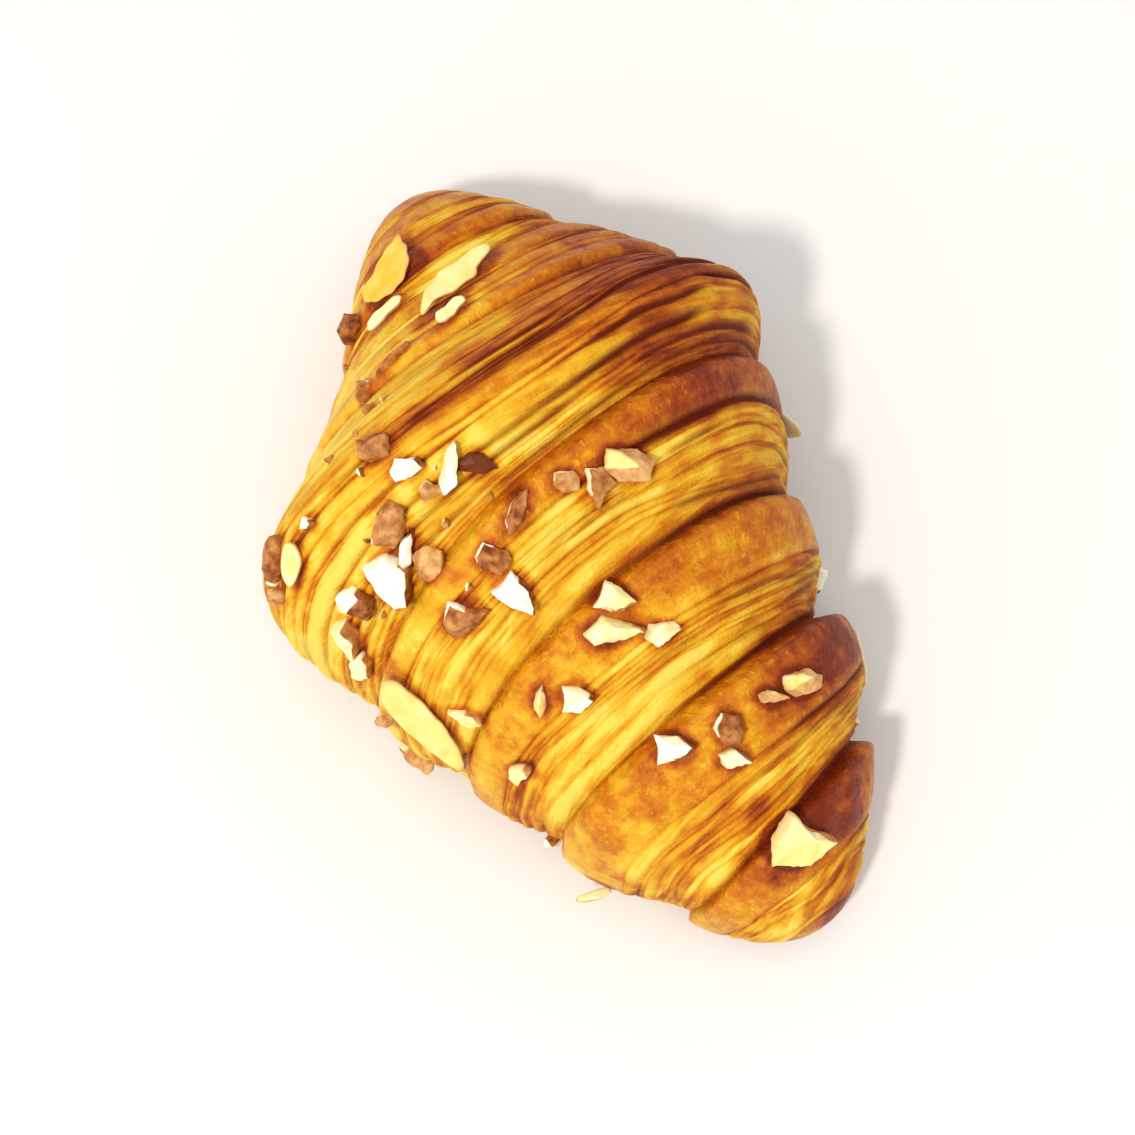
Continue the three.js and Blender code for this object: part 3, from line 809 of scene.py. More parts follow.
def swing(reach, low=0.3):
    """Limits that turn noise, which lies mostly between `low` and 1 - `low`, into -reach to +reach."""
    return {"From_Min": low, "From_Max": 1 - low, "To_Min": -reach, "To_Max": reach}


def faded(tree, value, mask, least):
    """The value in full where the mask is 1, and a share `least` of it where the mask is 0."""
    share = add(tree, "ShaderNodeMapRange", Value=mask, To_Min=least, To_Max=1.0)
    return add(tree, "ShaderNodeMath", {"operation": "MULTIPLY"}, _0=value, _1=share)


def total(tree, values):
    """The sum of the values, each a node or an output."""
    whole = values[0]
    for value in values[1:]:
        whole = add(tree, "ShaderNodeMath", {"operation": "ADD"}, _0=whole, _1=value)
    return whole


# %% Baked dough
# Laminated dough baked golden: a thin egg wash browns and shines on the skin, and the bare layers stay pale
# and waxy with butter. Browning is sugar, so it goes from butter-yellow through amber to a deep red-brown.
CRUST_COLOURS = {
    0.00: "#e8c852",
    0.08: "#e4bc3e",
    0.18: "#deae2c",
    0.35: "#d49719",
    0.52: "#c3740e",
    0.70: "#ab550c",
    0.86: "#8d390c",
    1.00: "#722609",
}
# Painted shade: the colour that the cracks are mixed towards.
CRACK_SHADE_COLOUR = "#671f0c"
# Size of the patches in mm, and detail: soft mottling, blotches, crumbs, and golden blisters, whose paler
# spots are painted highlights
MOTTLE, BLOTCH, SPECKLE, PIMPLES = (6.0, 3.0), (1.6, 4.0), (0.6, 3.0), (1.1, 1.0)
# How much each of them changes the bake, and the share of that which is left on bare layers
MOTTLE_BAKE, BLOTCH_BAKE, SPECKLE_BAKE, PIMPLE_GLINT_BAKE = 0.20, 0.09, 0.04, -0.15
MOTTLE_ON_LAYERS, BLOTCH_ON_LAYERS, PIMPLES_ON_LAYERS = 0.7, 0.3, 0.15
# A golden blister rises from where its noise passes the first limit to where it passes the second, and its
# paler spot is a painted highlight
PIMPLE_LIMITS = {"From_Min": 0.60, "From_Max": 0.74}
# Streaks of butter and sugar, and the finest layers: mm across them, mm along them, and detail. Real films
# of dough are thinner, but they would not show, so they are drawn this coarse.
STREAK, FIBRE = (1.1, 9.0, 1.0), (0.35, 6.0, 2.0)
STREAK_BAKE, FIBRE_BAKE = 0.09, 0.05
STREAKS_ON_SKIN, FIBRES_ON_SKIN = 0.25, 0.4
STREAK_CRISPNESS = 0.41  # the nearer to a half, the sharper the streaks' borders
GRAIN_WAVER = 0.7  # how much streaks and layers waver
# Baked pastry's gloss: satin where it is egg-washed, and near matt where the layers lie bare. Fat and dried
# egg bend light by about 1.47, and the strength of the shine is matched to the photograph.
SKIN_ROUGHNESS, LAYER_ROUGHNESS = 0.42, 0.62
EGG_WASH_IOR, EGG_WASH_GLOSS = 1.47, 0.14
# Relief too fine for the mesh, in mm, and each pattern's share in it
BUMP_HEIGHT, BUMP_STRENGTH = 0.35, 0.6
BLOTCH_BUMP_ON_LAYERS, FIBRE_BUMP_ON_SKIN, SPECKLE_BUMP = 0.2, 0.3, 0.25


def drawn_along(tree, grain, size, length, detail):
    """Noise drawn out along the layers: its size across them and its length along them are in mm."""
    scale = (per_metre(size), per_metre(length), per_metre(length))
    place = add(tree, "ShaderNodeMapping", Vector=grain, Scale=scale)
    return add(tree, "ShaderNodeTexNoise", Vector=place, Scale=1.0, Detail=detail, Distortion=GRAIN_WAVER)


def dough_material():
    """Colour by a ramp of the bake, the mesh's own with its painted shade, plus toast, mottling, blotches,
    streaks, fibres and blisters with painted highlights; cracks are mixed towards painted shade.
    """
    material, tree = new_material("egg_washed_pastry")
    place = add(tree, "ShaderNodeTexCoord").outputs["Object"]
    grain = add(tree, "ShaderNodeAttribute", {"attribute_name": "grain"}).outputs["Vector"]
    bake, groove, skin, toast = (
        add(tree, "ShaderNodeAttribute", {"attribute_name": name}).outputs["Fac"]
        for name in ("bake", "groove", "skin", "toast")
    )
    bare = add(tree, "ShaderNodeMath", {"operation": "SUBTRACT"}, _0=1.0, _1=skin)
    mottle, blotch, speckle, pimples = (
        add(tree, "ShaderNodeTexNoise", Vector=place, Scale=per_metre(size), Detail=detail)
        for size, detail in (MOTTLE, BLOTCH, SPECKLE, PIMPLES)
    )
    pimples = add(tree, "ShaderNodeMapRange", Value=pimples, **PIMPLE_LIMITS)
    pimples = faded(tree, pimples, skin, PIMPLES_ON_LAYERS)
    streak, fibre = (drawn_along(tree, grain, *sizes) for sizes in (STREAK, FIBRE))
    mottle_bake = add(tree, "ShaderNodeMapRange", Value=mottle, **swing(MOTTLE_BAKE))
    blotch_bake = add(tree, "ShaderNodeMapRange", Value=blotch, **swing(BLOTCH_BAKE))
    streak_bake = add(tree, "ShaderNodeMapRange", Value=streak, **swing(STREAK_BAKE, STREAK_CRISPNESS))
    fibre_bake = add(tree, "ShaderNodeMapRange", Value=fibre, **swing(FIBRE_BAKE))
    # The toast is browned egg wash and painted contact shade round the nuts.
    shade = total(tree, [
        bake,
        toast,
        faded(tree, mottle_bake, skin, MOTTLE_ON_LAYERS),
        faded(tree, blotch_bake, skin, BLOTCH_ON_LAYERS),
        faded(tree, streak_bake, bare, STREAKS_ON_SKIN),
        faded(tree, fibre_bake, bare, FIBRES_ON_SKIN),
        add(tree, "ShaderNodeMapRange", Value=speckle, **swing(SPECKLE_BAKE)),
        add(tree, "ShaderNodeMath", {"operation": "MULTIPLY"}, _0=pimples, _1=PIMPLE_GLINT_BAKE),
    ])
    baked = add(tree, "ShaderNodeValToRGB", stops=CRUST_COLOURS, Fac=shade)
    # Painted shade: the cracks are mixed towards a dark red-brown, as far as the groove channel says.
    crack_shaded = add(
        tree, "ShaderNodeMix", {"data_type": "RGBA"}, _0=groove, _6=baked, _7=linear(CRACK_SHADE_COLOUR)
    )
    gloss = add(tree, "ShaderNodeMapRange", Value=skin, To_Min=LAYER_ROUGHNESS, To_Max=SKIN_ROUGHNESS)
    height = total(tree, [
        faded(tree, blotch, skin, BLOTCH_BUMP_ON_LAYERS),
        faded(tree, fibre, bare, FIBRE_BUMP_ON_SKIN),
        add(tree, "ShaderNodeMapRange", Value=speckle, **swing(SPECKLE_BUMP)),
        pimples,
    ])
    bump = add(tree, "ShaderNodeBump", Strength=BUMP_STRENGTH, Distance=BUMP_HEIGHT * MM, Height=height)
    surface = add(
        tree,
        "ShaderNodeBsdfPrincipled",
        Base_Color=crack_shaded.outputs[2],
        Roughness=gloss,
        Normal=bump,
        Specular_IOR_Level=EGG_WASH_GLOSS,
        IOR=EGG_WASH_IOR,
    )
    add(tree, "ShaderNodeOutputMaterial", Surface=surface)
    return material


pastry = dough_material()
body.data.materials.append(pastry)
print(pastry.name, "has", len(pastry.node_tree.nodes), "nodes")

# %% [markdown]
# ## The almonds
#
# Chopped almonds are shards of a nut: flat cream faces where the knife went through, and some of the
# nut's own brown skin. Sliced almonds are thin plates with a rim of skin. Each is placed by its spot
# along the roll and its angle round it, in the frame of the crust there. Scattering them at random would
# be shorter, but the eye knows the big ones by their places.

# %% The crust's frame at a spot
STEP_ALONG, STEP_ROUND = 3.0, math.radians(8)  # mm and angle over which the crust's slope is measured


def crust_at(along, angle):
    """Points of the smooth crust at arrays of places along the roll and angles, whatever their ring."""
    points = np.zeros((len(along), 3))
    for k in range(RING_COUNT):
        start, end = seam_at(k, angle), seam_at(k + 1, angle)
        inside = (along > start) & (along <= end)
        share = np.clip((along - start) / (end - start), 0, 1)
        points[inside] = crust_point(along, sink_at(k, share, angle), angle)[inside]
    return points


def crust_frames(along, angle):
    """Spot on the crust and its three axes: along the roll, round it, and out of the crust."""
    forward = crust_at(along + STEP_ALONG, angle) - crust_at(along - STEP_ALONG, angle)
    round_it = crust_at(along, angle + STEP_ROUND) - crust_at(along, angle - STEP_ROUND)
    out = np.cross(forward, round_it)
    out /= np.linalg.norm(out, axis=1, keepdims=True)
    ahead = np.array([1.0, 0, 0]) - out * out[:, :1]
    ahead /= np.linalg.norm(ahead, axis=1, keepdims=True)
    return crust_at(along, angle), np.stack([ahead, np.cross(out, ahead), out], axis=1)


def settle(name, shapes, spots, channels):
    """One mesh of N pieces (x, y, z, channels...): each is turned in the crust's plane and moved to its spot.

    The spots are N of (along, around, turn). A piece is shaped lying on the plane z = 0.
    """
    along, around, turn = np.array(spots, float).T
    places, axes = crust_frames(along, np.radians(around))
    c, s = np.cos(np.radians(turn))[:, None, None], np.sin(np.radians(turn))[:, None, None]
    x = shapes[..., 0] * c - shapes[..., 1] * s
    y = shapes[..., 0] * s + shapes[..., 1] * c
    settled = np.einsum("nrci,nij->nrcj", np.stack([x, y, shapes[..., 2]], -1), axes)
    grids = np.concatenate([places[:, None, None] + settled, shapes[..., 3:]], -1)
    first, last = grids[:, 0].mean(axis=1), grids[:, -1].mean(axis=1)
    return closed_surfaces(name, first, grids, last, channels)


# %% Outlines of the chopped pieces: six corners as the angle and the share of the half length they reach
OUTLINES = {
    "block": ((25, 1.15), (65, 1.05), (140, 1.1), (205, 1.0), (255, 0.95), (325, 1.15)),
    "wedge": ((-5, 1.2), (50, 0.75), (110, 0.9), (165, 1.05), (215, 0.95), (290, 0.7)),
    "arrow": ((5, 1.25), (70, 0.75), (135, 1.05), (180, 0.6), (230, 1.1), (300, 0.8)),
    "star": ((10, 1.2), (55, 0.65), (110, 1.15), (170, 0.85), (235, 1.15), (300, 0.75)),
    "sliver": ((0, 1.15), (60, 0.8), (130, 0.75), (180, 1.15), (235, 0.8), (310, 0.85)),
    "notched": ((20, 1.1), (60, 1.15), (125, 1.15), (195, 0.95), (245, 1.1), (300, 0.6)),
}

# %% The chopped almonds' places
# Place along the roll, angle round it, length, width, height, turn, outline, and the face on top
CHUNKS = (
    (-50, -58, 5.0, 3.4, 1.6, -72, "block", "skin"),
    (-33.5, -36, 4.0, 2.6, 1.2, -13, "wedge", "skin"),
    (-34.8, -25.5, 5.8, 1.4, 0.8, -69, "sliver", "skin"),
    (-20.5, -26, 4.6, 3.8, 1.6, 69, "block", "skin"),
    (-15, -22, 4.7, 3.4, 1.8, 55, "notched", "cut"),
    (-11, -20.5, 3.6, 3.0, 1.4, 54, "star", "skin"),
    (-11.7, -15.5, 6.6, 3.0, 2.0, -46, "sliver", "cut"),
    # A near-black brown piece: painted shade beside the white sliver before it.
    (-10.6, -11, 5.2, 4.2, 1.4, 57, "wedge", "burnt"),
    (-10.8, -31, 7.0, 5.0, 2.0, -52, "block", "skin"),
    (-5, -40, 9.0, 6.6, 2.4, -49, "notched", "cut"),
    (-6.6, -32, 5.8, 2.8, 2.0, -52, "sliver", "cut"),
    (-3.6, -30, 5.2, 4.4, 1.6, -41, "block", "skin"),
    (-19, -62, 7.0, 3.0, 1.6, -50, "sliver", "skin"),
    (-18.5, -46.5, 2.8, 2.2, 1.0, 57, "arrow", "cut"),
    (-15.5, -70, 3.6, 2.6, 1.2, 66, "block", "skin"),
    (-6, -51, 5.6, 5.0, 2.0, -3, "notched", "mixed"),
    (-3.5, -62, 8.2, 3.8, 2.0, -50, "wedge", "cream"),
    (0, -68, 5.2, 3.4, 1.4, -75, "block", "cream"),
    (8, -76, 4.6, 3.2, 1.2, 75, "wedge", "skin"),
    (19.5, -76, 4.6, 3.4, 1.2, 74, "block", "skin"),
    (15.6, -54, 4.8, 2.0, 1.2, 24, "sliver", "cream"),
    (6, -30.5, 6.2, 5.4, 1.8, 62, "star", "skin"),
    (1.8, -17.5, 4.6, 4.0, 1.4, 24, "block", "skin"),
    (6.8, -18, 6.4, 4.8, 1.8, 7, "arrow", "cut"),
    (-1.8, -8.5, 5.7, 3.2, 1.2, -53, "sliver", "skin"),
    (-1.8, 0.5, 3.5, 3.2, 1.2, 59, "block", "skin"),
    (0.8, 5, 6.0, 4.3, 1.6, -39, "star", "skin"),
    (0.4, 11.5, 7.4, 4.9, 1.8, 59, "block", "toasted"),
    (14.7, -2.5, 5.7, 4.5, 2.0, 38, "arrow", "cream"),
    (18.5, -6.5, 7.4, 4.6, 1.8, 67, "wedge", "cream"),
    (22.4, 1, 5.3, 3.1, 1.6, 68, "notched", "cream"),
    (20.8, -30.5, 4.1, 2.3, 1.4, -42, "sliver", "cream"),
    (23.4, -23.5, 4.6, 4.4, 2.0, 53, "arrow", "cut"),
    (27, -54, 3.6, 2.8, 1.2, 52, "notched", "cream"),
    (36.8, -13.5, 5.7, 4.6, 2.2, 57, "arrow", "cut"),
    (38.6, 0.5, 4.7, 4.2, 1.6, -20, "block", "skin"),
    (42.6, -2, 4.2, 3.1, 1.8, 57, "wedge", "cream"),
    (38.4, 25.5, 6.0, 3.9, 1.8, 75, "block", "toasted"),
    (38.1, 14.5, 4.0, 2.3, 1.4, 63, "wedge", "toasted"),
    (57.5, 3, 9.2, 8.2, 2.4, 57, "star", "cream"),
)
# The guessed ones low on both sides
STRAY_COUNT = 10
STRAY_SPAN = 50  # mm along the roll, on both sides of its middle
STRAY_FAR_ANGLES = (98, 112)
STRAY_NEAR_ANGLES = (-112, -98)
STRAY_LENGTHS = (3.5, 7.5)
STRAY_ASPECTS = (0.5, 0.8)
STRAY_HEIGHTS = (1.2, 2.2)
GOLDEN = 0.618034  # the golden ratio
# The solid's own numbers for its draws of a piece's place, shape and turn
AROUND_DRAW, LENGTH_DRAW, ASPECT_DRAW, HEIGHT_DRAW, TURN_DRAW = 3, 4, 5, 6, 7


def draw(i, channel):
    """The solid's repeatable draw between 0 and 1: the fraction of a large multiple of a sine."""
    draw_sine, channel_sine, multiple = 12.9898, 78.233, 43758.5453
    return math.modf(1 + math.modf(math.sin(i * draw_sine + channel * channel_sine) * multiple)[0])[0]


def draw_between(limits, i, channel):
    """The draw, stretched from 0 and 1 to two limits."""
    return limits[0] + (limits[1] - limits[0]) * draw(i, channel)


def stray_chunks():
    """The pieces low on both sides, spread along the roll by the golden ratio, as in the solid."""
    strays = []
    for i in range(STRAY_COUNT):
        along = STRAY_SPAN * (2 * ((i * GOLDEN) % 1) - 1)
        around = draw_between(STRAY_NEAR_ANGLES if i % 2 else STRAY_FAR_ANGLES, i, AROUND_DRAW)
        long = draw_between(STRAY_LENGTHS, i, LENGTH_DRAW)
        wide = long * draw_between(STRAY_ASPECTS, i, ASPECT_DRAW)
        face = ("cut", "skin", "mixed")[i % 3]
        outline = tuple(OUTLINES)[i % len(OUTLINES)]
        tall = draw_between(STRAY_HEIGHTS, i, HEIGHT_DRAW)
        turn = 180 * draw(i, TURN_DRAW)
        strays.append((along, around, long, wide, tall, turn, outline, face))
    return strays


# %% [markdown]
# A shard has straight edges between six corners, each at its own level, and a top that rises from them in
# flat facets to a ridge. Rows of points run round it like the courses of a wall. A sphere cut by planes
# would do too, but its corners come out blunt, and these are knife-sharp.

# %% Sizes and finishes of the chopped pieces
CORNER_COUNT = 6
CORNER_TURN = 8  # degrees by which a corner may be turned from its outline's
CORNER_REACHES = (0.92, 1.08)  # and the shares of the outline's reach that it may have
COLUMNS_PER_EDGE = 8
CHUNK_ROOT = 1.6  # how far a piece reaches down into the crust, in mm
# Rows of the top, as shares of the way from the ridge to the edge
TOP_ROWS = (0.04, 0.22, 0.42, 0.62, 0.82, 0.96)
# Rows of the wall: reach, and height as a share of the edge's level
WALL_ROWS = ((1.0, 0.95), (1.05, 0.7), (1.08, 0.4), (1.1, 0.0), (0.9, -0.6))
CORNER_LEVELS = (0.2, 0.85)
RIDGE_OFF = 0.4  # how far the ridge lies off the middle, as a share
PROUD = 1.4  # how much higher than the solid's blunt lump a sharp ridge stands
# A point is cut flesh where the cosine of its angle from the skin's side is below the limit: top and wall
SKIN_SIDES = {
    "cut": (9.0, 0.3), "cream": (9.0, 0.3), "mixed": (0.15, -0.2),
    "toasted": (-0.8, -0.8), "skin": (-9.0, -0.6), "burnt": (-9.0, -9.0),
}
# How golden a piece's flesh is, and how light its skin. The piece in shade is near-black brown all over:
# painted shade.
TONES = {
    "cut": (0.0, 0.3), "cream": (0.4, 0.65), "mixed": (0.2, 0.5),
    "toasted": (0.6, 0.8), "skin": (0.2, 0.6), "burnt": (-0.5, -0.4),
}
SHADED_SKIN_WAY = 40  # degrees from +X round to the side where the nut's brown skin mostly is: the side turned from the key light, so its brown is partly painted shade
SHADED_SKIN_WAY_SPREAD = 45
FACET_TONE = 0.15  # how much one facet's tone differs from the next
CHIP_WAVES = np.geomspace(4.0, 0.7, 10)  # mm, lengths of the waves that make a broken face uneven
CHIP_DEPTH = 0.035  # height of a wave for each mm of its length


# %% Chopped pieces
def round_corners(values):
    """Straight lines between the values at six corners: an array of columns by values."""
    blend = (np.arange(COLUMNS_PER_EDGE) / COLUMNS_PER_EDGE)[None, :, None]
    lines = values[:, None] * (1 - blend) + np.roll(values, -1, axis=0)[:, None] * blend
    return lines.reshape(-1, values.shape[-1])


def chipped(points, random):
    """Moves points by a sum of short waves, each with its own direction, so that flat faces look broken."""
    moved = points.copy()
    for length in CHIP_WAVES:
        way, push = random.normal(size=(2, 3))
        phase = 2 * math.pi * (points @ (way / np.linalg.norm(way)) / length + random.uniform())
        moved += CHIP_DEPTH * length * (push / np.linalg.norm(push)) * np.sin(phase)[..., None]
    return moved


def shard(long, wide, tall, turn, outline, face, random):
    """One piece as rows by columns by (x, y, z, cut, tone), on the crust at z = 0 and rooted below it."""
    azimuths, reaches = np.array(OUTLINES[outline], float).T
    azimuths = np.radians(azimuths + random.uniform(-CORNER_TURN, CORNER_TURN, CORNER_COUNT))
    reaches = reaches * random.uniform(*CORNER_REACHES, CORNER_COUNT)
    levels = random.uniform(*CORNER_LEVELS, CORNER_COUNT)
    corners = np.stack([reaches * np.cos(azimuths), reaches * np.sin(azimuths), levels], -1)
    edge = round_corners(corners)
    ridge = np.array([*random.uniform(-RIDGE_OFF, RIDGE_OFF, 2), 1.0])
    # The skin goes on the side turned from the key light: partly painted shade.
    shaded_skin_way = math.radians(SHADED_SKIN_WAY - turn + random.uniform(-SHADED_SKIN_WAY_SPREAD, SHADED_SKIN_WAY_SPREAD))
    around = np.arctan2(edge[:, 1], edge[:, 0])
    toward_skin = np.cos(around - shaded_skin_way)
    top_limit, wall_limit = SKIN_SIDES[face]
    facet_tone = round_corners(random.uniform(-FACET_TONE, FACET_TONE, (CORNER_COUNT, 1)))
    tone = random.uniform(*TONES[face]) + facet_tone
    rows = []
    for share in TOP_ROWS:
        place = ridge * (1 - share) + edge * share
        rows.append(np.concatenate([place, (toward_skin < top_limit)[:, None], tone], 1))
    for reach, level in WALL_ROWS:
        place = edge * (reach, reach, level)
        rows.append(np.concatenate([place, (toward_skin < wall_limit)[:, None], tone], 1))
    grid = np.array(rows) * (long / 2, wide / 2, tall * PROUD, 1, 1)
    return np.concatenate([chipped(grid[..., :3], random), grid[..., 3:]], -1)


def chopped(name, pieces, random):
    """A heap of shards as one mesh, each settled on the crust at its own spot and rooted in it."""
    shards = np.array([shard(*piece[2:], random) for piece in pieces])
    shards[:, -1, :, 2] = -CHUNK_ROOT
    spots = [(along, around, turn) for along, around, _, _, _, turn, *_ in pieces]
    return settle(name, shards, spots, ("cut", "tone"))


CHUNK_SEED = 51
chunks = chopped("chopped_almonds", [*CHUNKS, *stray_chunks()], np.random.default_rng(CHUNK_SEED))
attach(chunks, "root")

# %% Outlines of the slices, in millimetres: a whole one is an egg, the others are as they broke
EGG_TAPER = 0.25
EGG_ANGLES = np.radians(np.arange(0, 360, 15))
SLICE_OUTLINES = {
    "whole": np.stack(
        [np.cos(EGG_ANGLES), np.sin(EGG_ANGLES) * (1 - EGG_TAPER * np.cos(EGG_ANGLES))], -1
    ),
    "lobed": np.array((
        (8.2, -0.1), (7.9, 0.7), (5.7, 0.1), (4.2, 0.5), (2.1, 1.7), (-0.1, 1.9), (-2.3, 2.7), (-3.2, 2.1),
        (-3.8, 1.2), (-7.0, 1.4), (-8.0, 0.8), (-8.4, -0.2), (-8.0, -0.7), (-6.2, -1.6), (-4.6, -1.8),
        (-1.4, -2.2), (0.1, -3.1), (1.3, -2.5), (4.2, -2.6), (6.0, -1.4),
    )),
    "half": np.array((
        (5.6, 0.5), (5.0, 2.3), (3.0, 3.2), (0.8, 3.9), (-1.3, 3.4), (-3.5, 1.5), (-4.1, -0.2), (-4.2, -2.5),
        (-1.9, -2.4), (0.7, -1.6), (2.8, -0.8), (4.8, -0.5),
    )),
    "chip": np.array((
        (5.0, 0.2), (4.2, 1.4), (1.0, 2.0), (-1.5, 1.2), (-4.6, 1.6), (-5.0, -0.4), (-3.2, -1.7), (0.4, -1.3),
        (2.8, -2.0), (4.4, -1.1),
    )),
    "flake": np.array((
        (2.0, -1.6), (0.6, 0.2), (-1.2, 1.7), (-2.6, 2.2), (-2.7, 1.4), (-1.3, -0.1), (0.2, -1.7),
        (1.2, -2.4),
    )),
}

# %% The sliced almonds' places
# Place along the roll, angle round it, length, width, turn, lean, cup, how golden, and outline
SLICES = (
    (-40.9, -5, 16.8, 5.8, -64, -20, 0.2, 0.62, "lobed"),
    (-35.6, -8, 5.8, 3.0, -65, -15, 0.1, 0.50, "chip"),
    (-50.8, -26.5, 11.2, 7.2, -80, -14, 0.9, 0.95, "half"),
    (-52, -37, 5.0, 1.5, 70, 5, 0.1, 0.55, "chip"),
    (-44.7, -30.5, 8.0, 2.8, -86, -20, 0.2, 0.52, "chip"),
    (-16, -56, 8.2, 3.7, -63, -10, 0.3, 0.60, "whole"),
    (12.4, -63.5, 22.5, 5.6, -33, -22, 0.4, 0.70, "whole"),
    (45.7, -94, 4.7, 4.6, 0, 78, 0.1, 0.50, "flake"),
    (36, 100, 11, 5.5, 20, 0, 0.3, 0.5, "whole"),
    (-4, 100, 12, 6, -35, 0, 0.3, 0.5, "whole"),
)

# %% Sliced pieces
SLICE_SEED = 52
# mm from the smooth crust to its upper face. The carved crust lies lower, so most slices stand just clear
# of it, by up to half a millimetre.
SLICE_LIFT = 0.9
SLICE_THICK = 0.75  # mm
SLICE_WAVER = 0.012  # share by which its rim wavers
SLICE_PROP = 0.7  # a leaning slice is raised by this share of what its higher edge rises
SLICE_COLUMNS = 72
SLICE_SOFTENING = 5  # how many times each point of an outline moves towards its neighbours
SLICE_RINGS = 9  # rows from the middle of a face to its rim
SLICE_WAVES = (4, 7, 11)  # waves round the rim
SLICE_RIPPLE, RIPPLE_WAVE = 0.12, 1.1  # mm, and how much of its angle the ripple turns in each mm
RIM_REACH, RIM_POWER, RIM_LEAST = 0.97, 6, 0.04  # how late and how far the plate thins towards its rim
SKIN_FROM = 0.9  # share of the way to the rim at which its brown skin starts
SKIN_TURNS = (1.6, 3.2)  # angles round the plate between which its skin side is drawn
SKIN_SPREAD = (-0.2, 0.8)  # cosines of the angle from that side between which the skin sets in
FULL_TURN, RIPPLE_STARTS = 6.28, (0, 6)  # radians


def round_outline(corners):
    """Points along an outline in a box of -1 to 1: its corners are joined by lines and then softened."""
    low, high = corners.min(axis=0), corners.max(axis=0)
    unit = (2 * corners - low - high) / (high - low)
    place = np.arange(SLICE_COLUMNS) / SLICE_COLUMNS
    corner_place = np.arange(len(unit)) / len(unit)
    outline = np.stack([np.interp(place, corner_place, unit[:, axis], period=1) for axis in (0, 1)])
    for _ in range(SLICE_SOFTENING):
        outline = outline / 2 + (np.roll(outline, 1, axis=1) + np.roll(outline, -1, axis=1)) / 4
    return outline


def sliced(pieces, seed):
    """N plates of (x, y, z, rim, tone): an outline drawn in to the middle, a wavy rim, and dished faces."""
    random = np.random.default_rng(seed)
    t = 2 * math.pi * np.arange(SLICE_COLUMNS) / SLICE_COLUMNS
    out = (np.arange(SLICE_RINGS) + 1) / SLICE_RINGS
    reach = np.concatenate([out, out[::-1]])[:, None]
    face = np.concatenate([np.ones(SLICE_RINGS), -np.ones(SLICE_RINGS)])[:, None]
    thick = SLICE_THICK / 2 * np.sqrt(np.clip(1 - (reach * RIM_REACH) ** RIM_POWER, RIM_LEAST, 1))
    plates = []
    for along, around, long, wide, turn, lean, cup, golden, outline in pieces:
        waves = sum(random.normal() * np.sin(n * t + random.uniform(0, FULL_TURN)) for n in SLICE_WAVES)
        x, y = (axis * (1 + SLICE_WAVER * waves) * reach for axis in round_outline(SLICE_OUTLINES[outline]))
        x, y = x * long / 2, y * wide / 2
        dish = cup * (1 - reach ** 2)
        ripple = SLICE_RIPPLE * np.sin(RIPPLE_WAVE * x + random.uniform(*RIPPLE_STARTS))
        z = SLICE_LIFT - SLICE_THICK / 2 + face * thick - dish + ripple
        tilt = math.radians(lean)
        prop = SLICE_PROP * wide / 2 * math.sin(abs(tilt))
        rolled_y = y * math.cos(tilt) - z * math.sin(tilt)
        rolled_z = y * math.sin(tilt) + z * math.cos(tilt) + prop
        skin_side = ramp(*SKIN_SPREAD, np.cos(t - random.uniform(*SKIN_TURNS)))
        rim = ramp(SKIN_FROM, 1.0, reach) * skin_side
        plates.append(np.stack([x, rolled_y, rolled_z, rim, np.full(x.shape, golden)], -1))
    return np.array(plates)


spots = [(along, around, turn) for along, around, _, _, turn, *_ in SLICES]
slices = settle("sliced_almonds", sliced(SLICES, SLICE_SEED), spots, ("rim", "tone"))
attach(slices, "root")

# %% [markdown]
# Egg wash gathers round each nut and bakes darker there, and the same dark ring stands in for the nuts'
# contact shadows, so it is partly painted shade. How much is kept on the crust as one more channel, from
# the distance to the outline of the nearest nut. Crumbs of almond lie near the nuts that they broke off.

# %% Darker crust round the nuts, partly painted shade
TOAST_AND_SHADE = 0.42  # bake added at the edge of a nut: browned egg wash, and painted shade that stands for its contact shadow
TOAST_WIDTH = 1.3  # mm from the edge at which it is gone
TOAST_DEPTH = 5.0  # mm below and above the nut's spot within which the crust is its own


def toast_and_shade_around(points, pieces):
    """Bake added at points of the crust, as browned egg wash and painted contact shade: the most that a nut
    of (along, around, long, wide, turn) adds.
    """
    along, around, long, wide, turn = np.array(pieces, float).T
    spots, axes = crust_frames(along, np.radians(around))
    toast = np.zeros(len(points))
    for n, turned in enumerate(np.radians(turn)):
        ahead, side, out = axes[n] @ (points - spots[n]).T
        u = ahead * math.cos(turned) + side * math.sin(turned)
        v = side * math.cos(turned) - ahead * math.sin(turned)
        reach = np.hypot(u / (long[n] / 2), v / (wide[n] / 2))
        from_edge = (reach - 1) * min(long[n], wide[n]) / 2
        ring = TOAST_AND_SHADE * (1 - ramp(0, TOAST_WIDTH, from_edge)) * (np.abs(out) < TOAST_DEPTH)
        toast = np.maximum(toast, ring)
    return toast


def mark_toast_and_shade():
    """Works out the toast, browned egg wash and painted contact shade, at every point of the crust and keeps
    it as one more channel.
    """
    points = np.empty(len(body.data.vertices) * 3)
    body.data.vertices.foreach_get("co", points)
    nuts = [(along, around, long, wide, turn) for along, around, long, wide, _, turn, *_ in CHUNKS]
    nuts += [(along, around, long, wide, turn) for along, around, long, wide, turn, *_ in SLICES]
    values = toast_and_shade_around(points.reshape(-1, 3) / MM, nuts)
    attribute = body.data.attributes.new("toast", "FLOAT", "POINT")
    attribute.data.foreach_set("value", values.astype(np.float32))
    print("toasted points:", int((values > 0).sum()), "of", len(values))


mark_toast_and_shade()

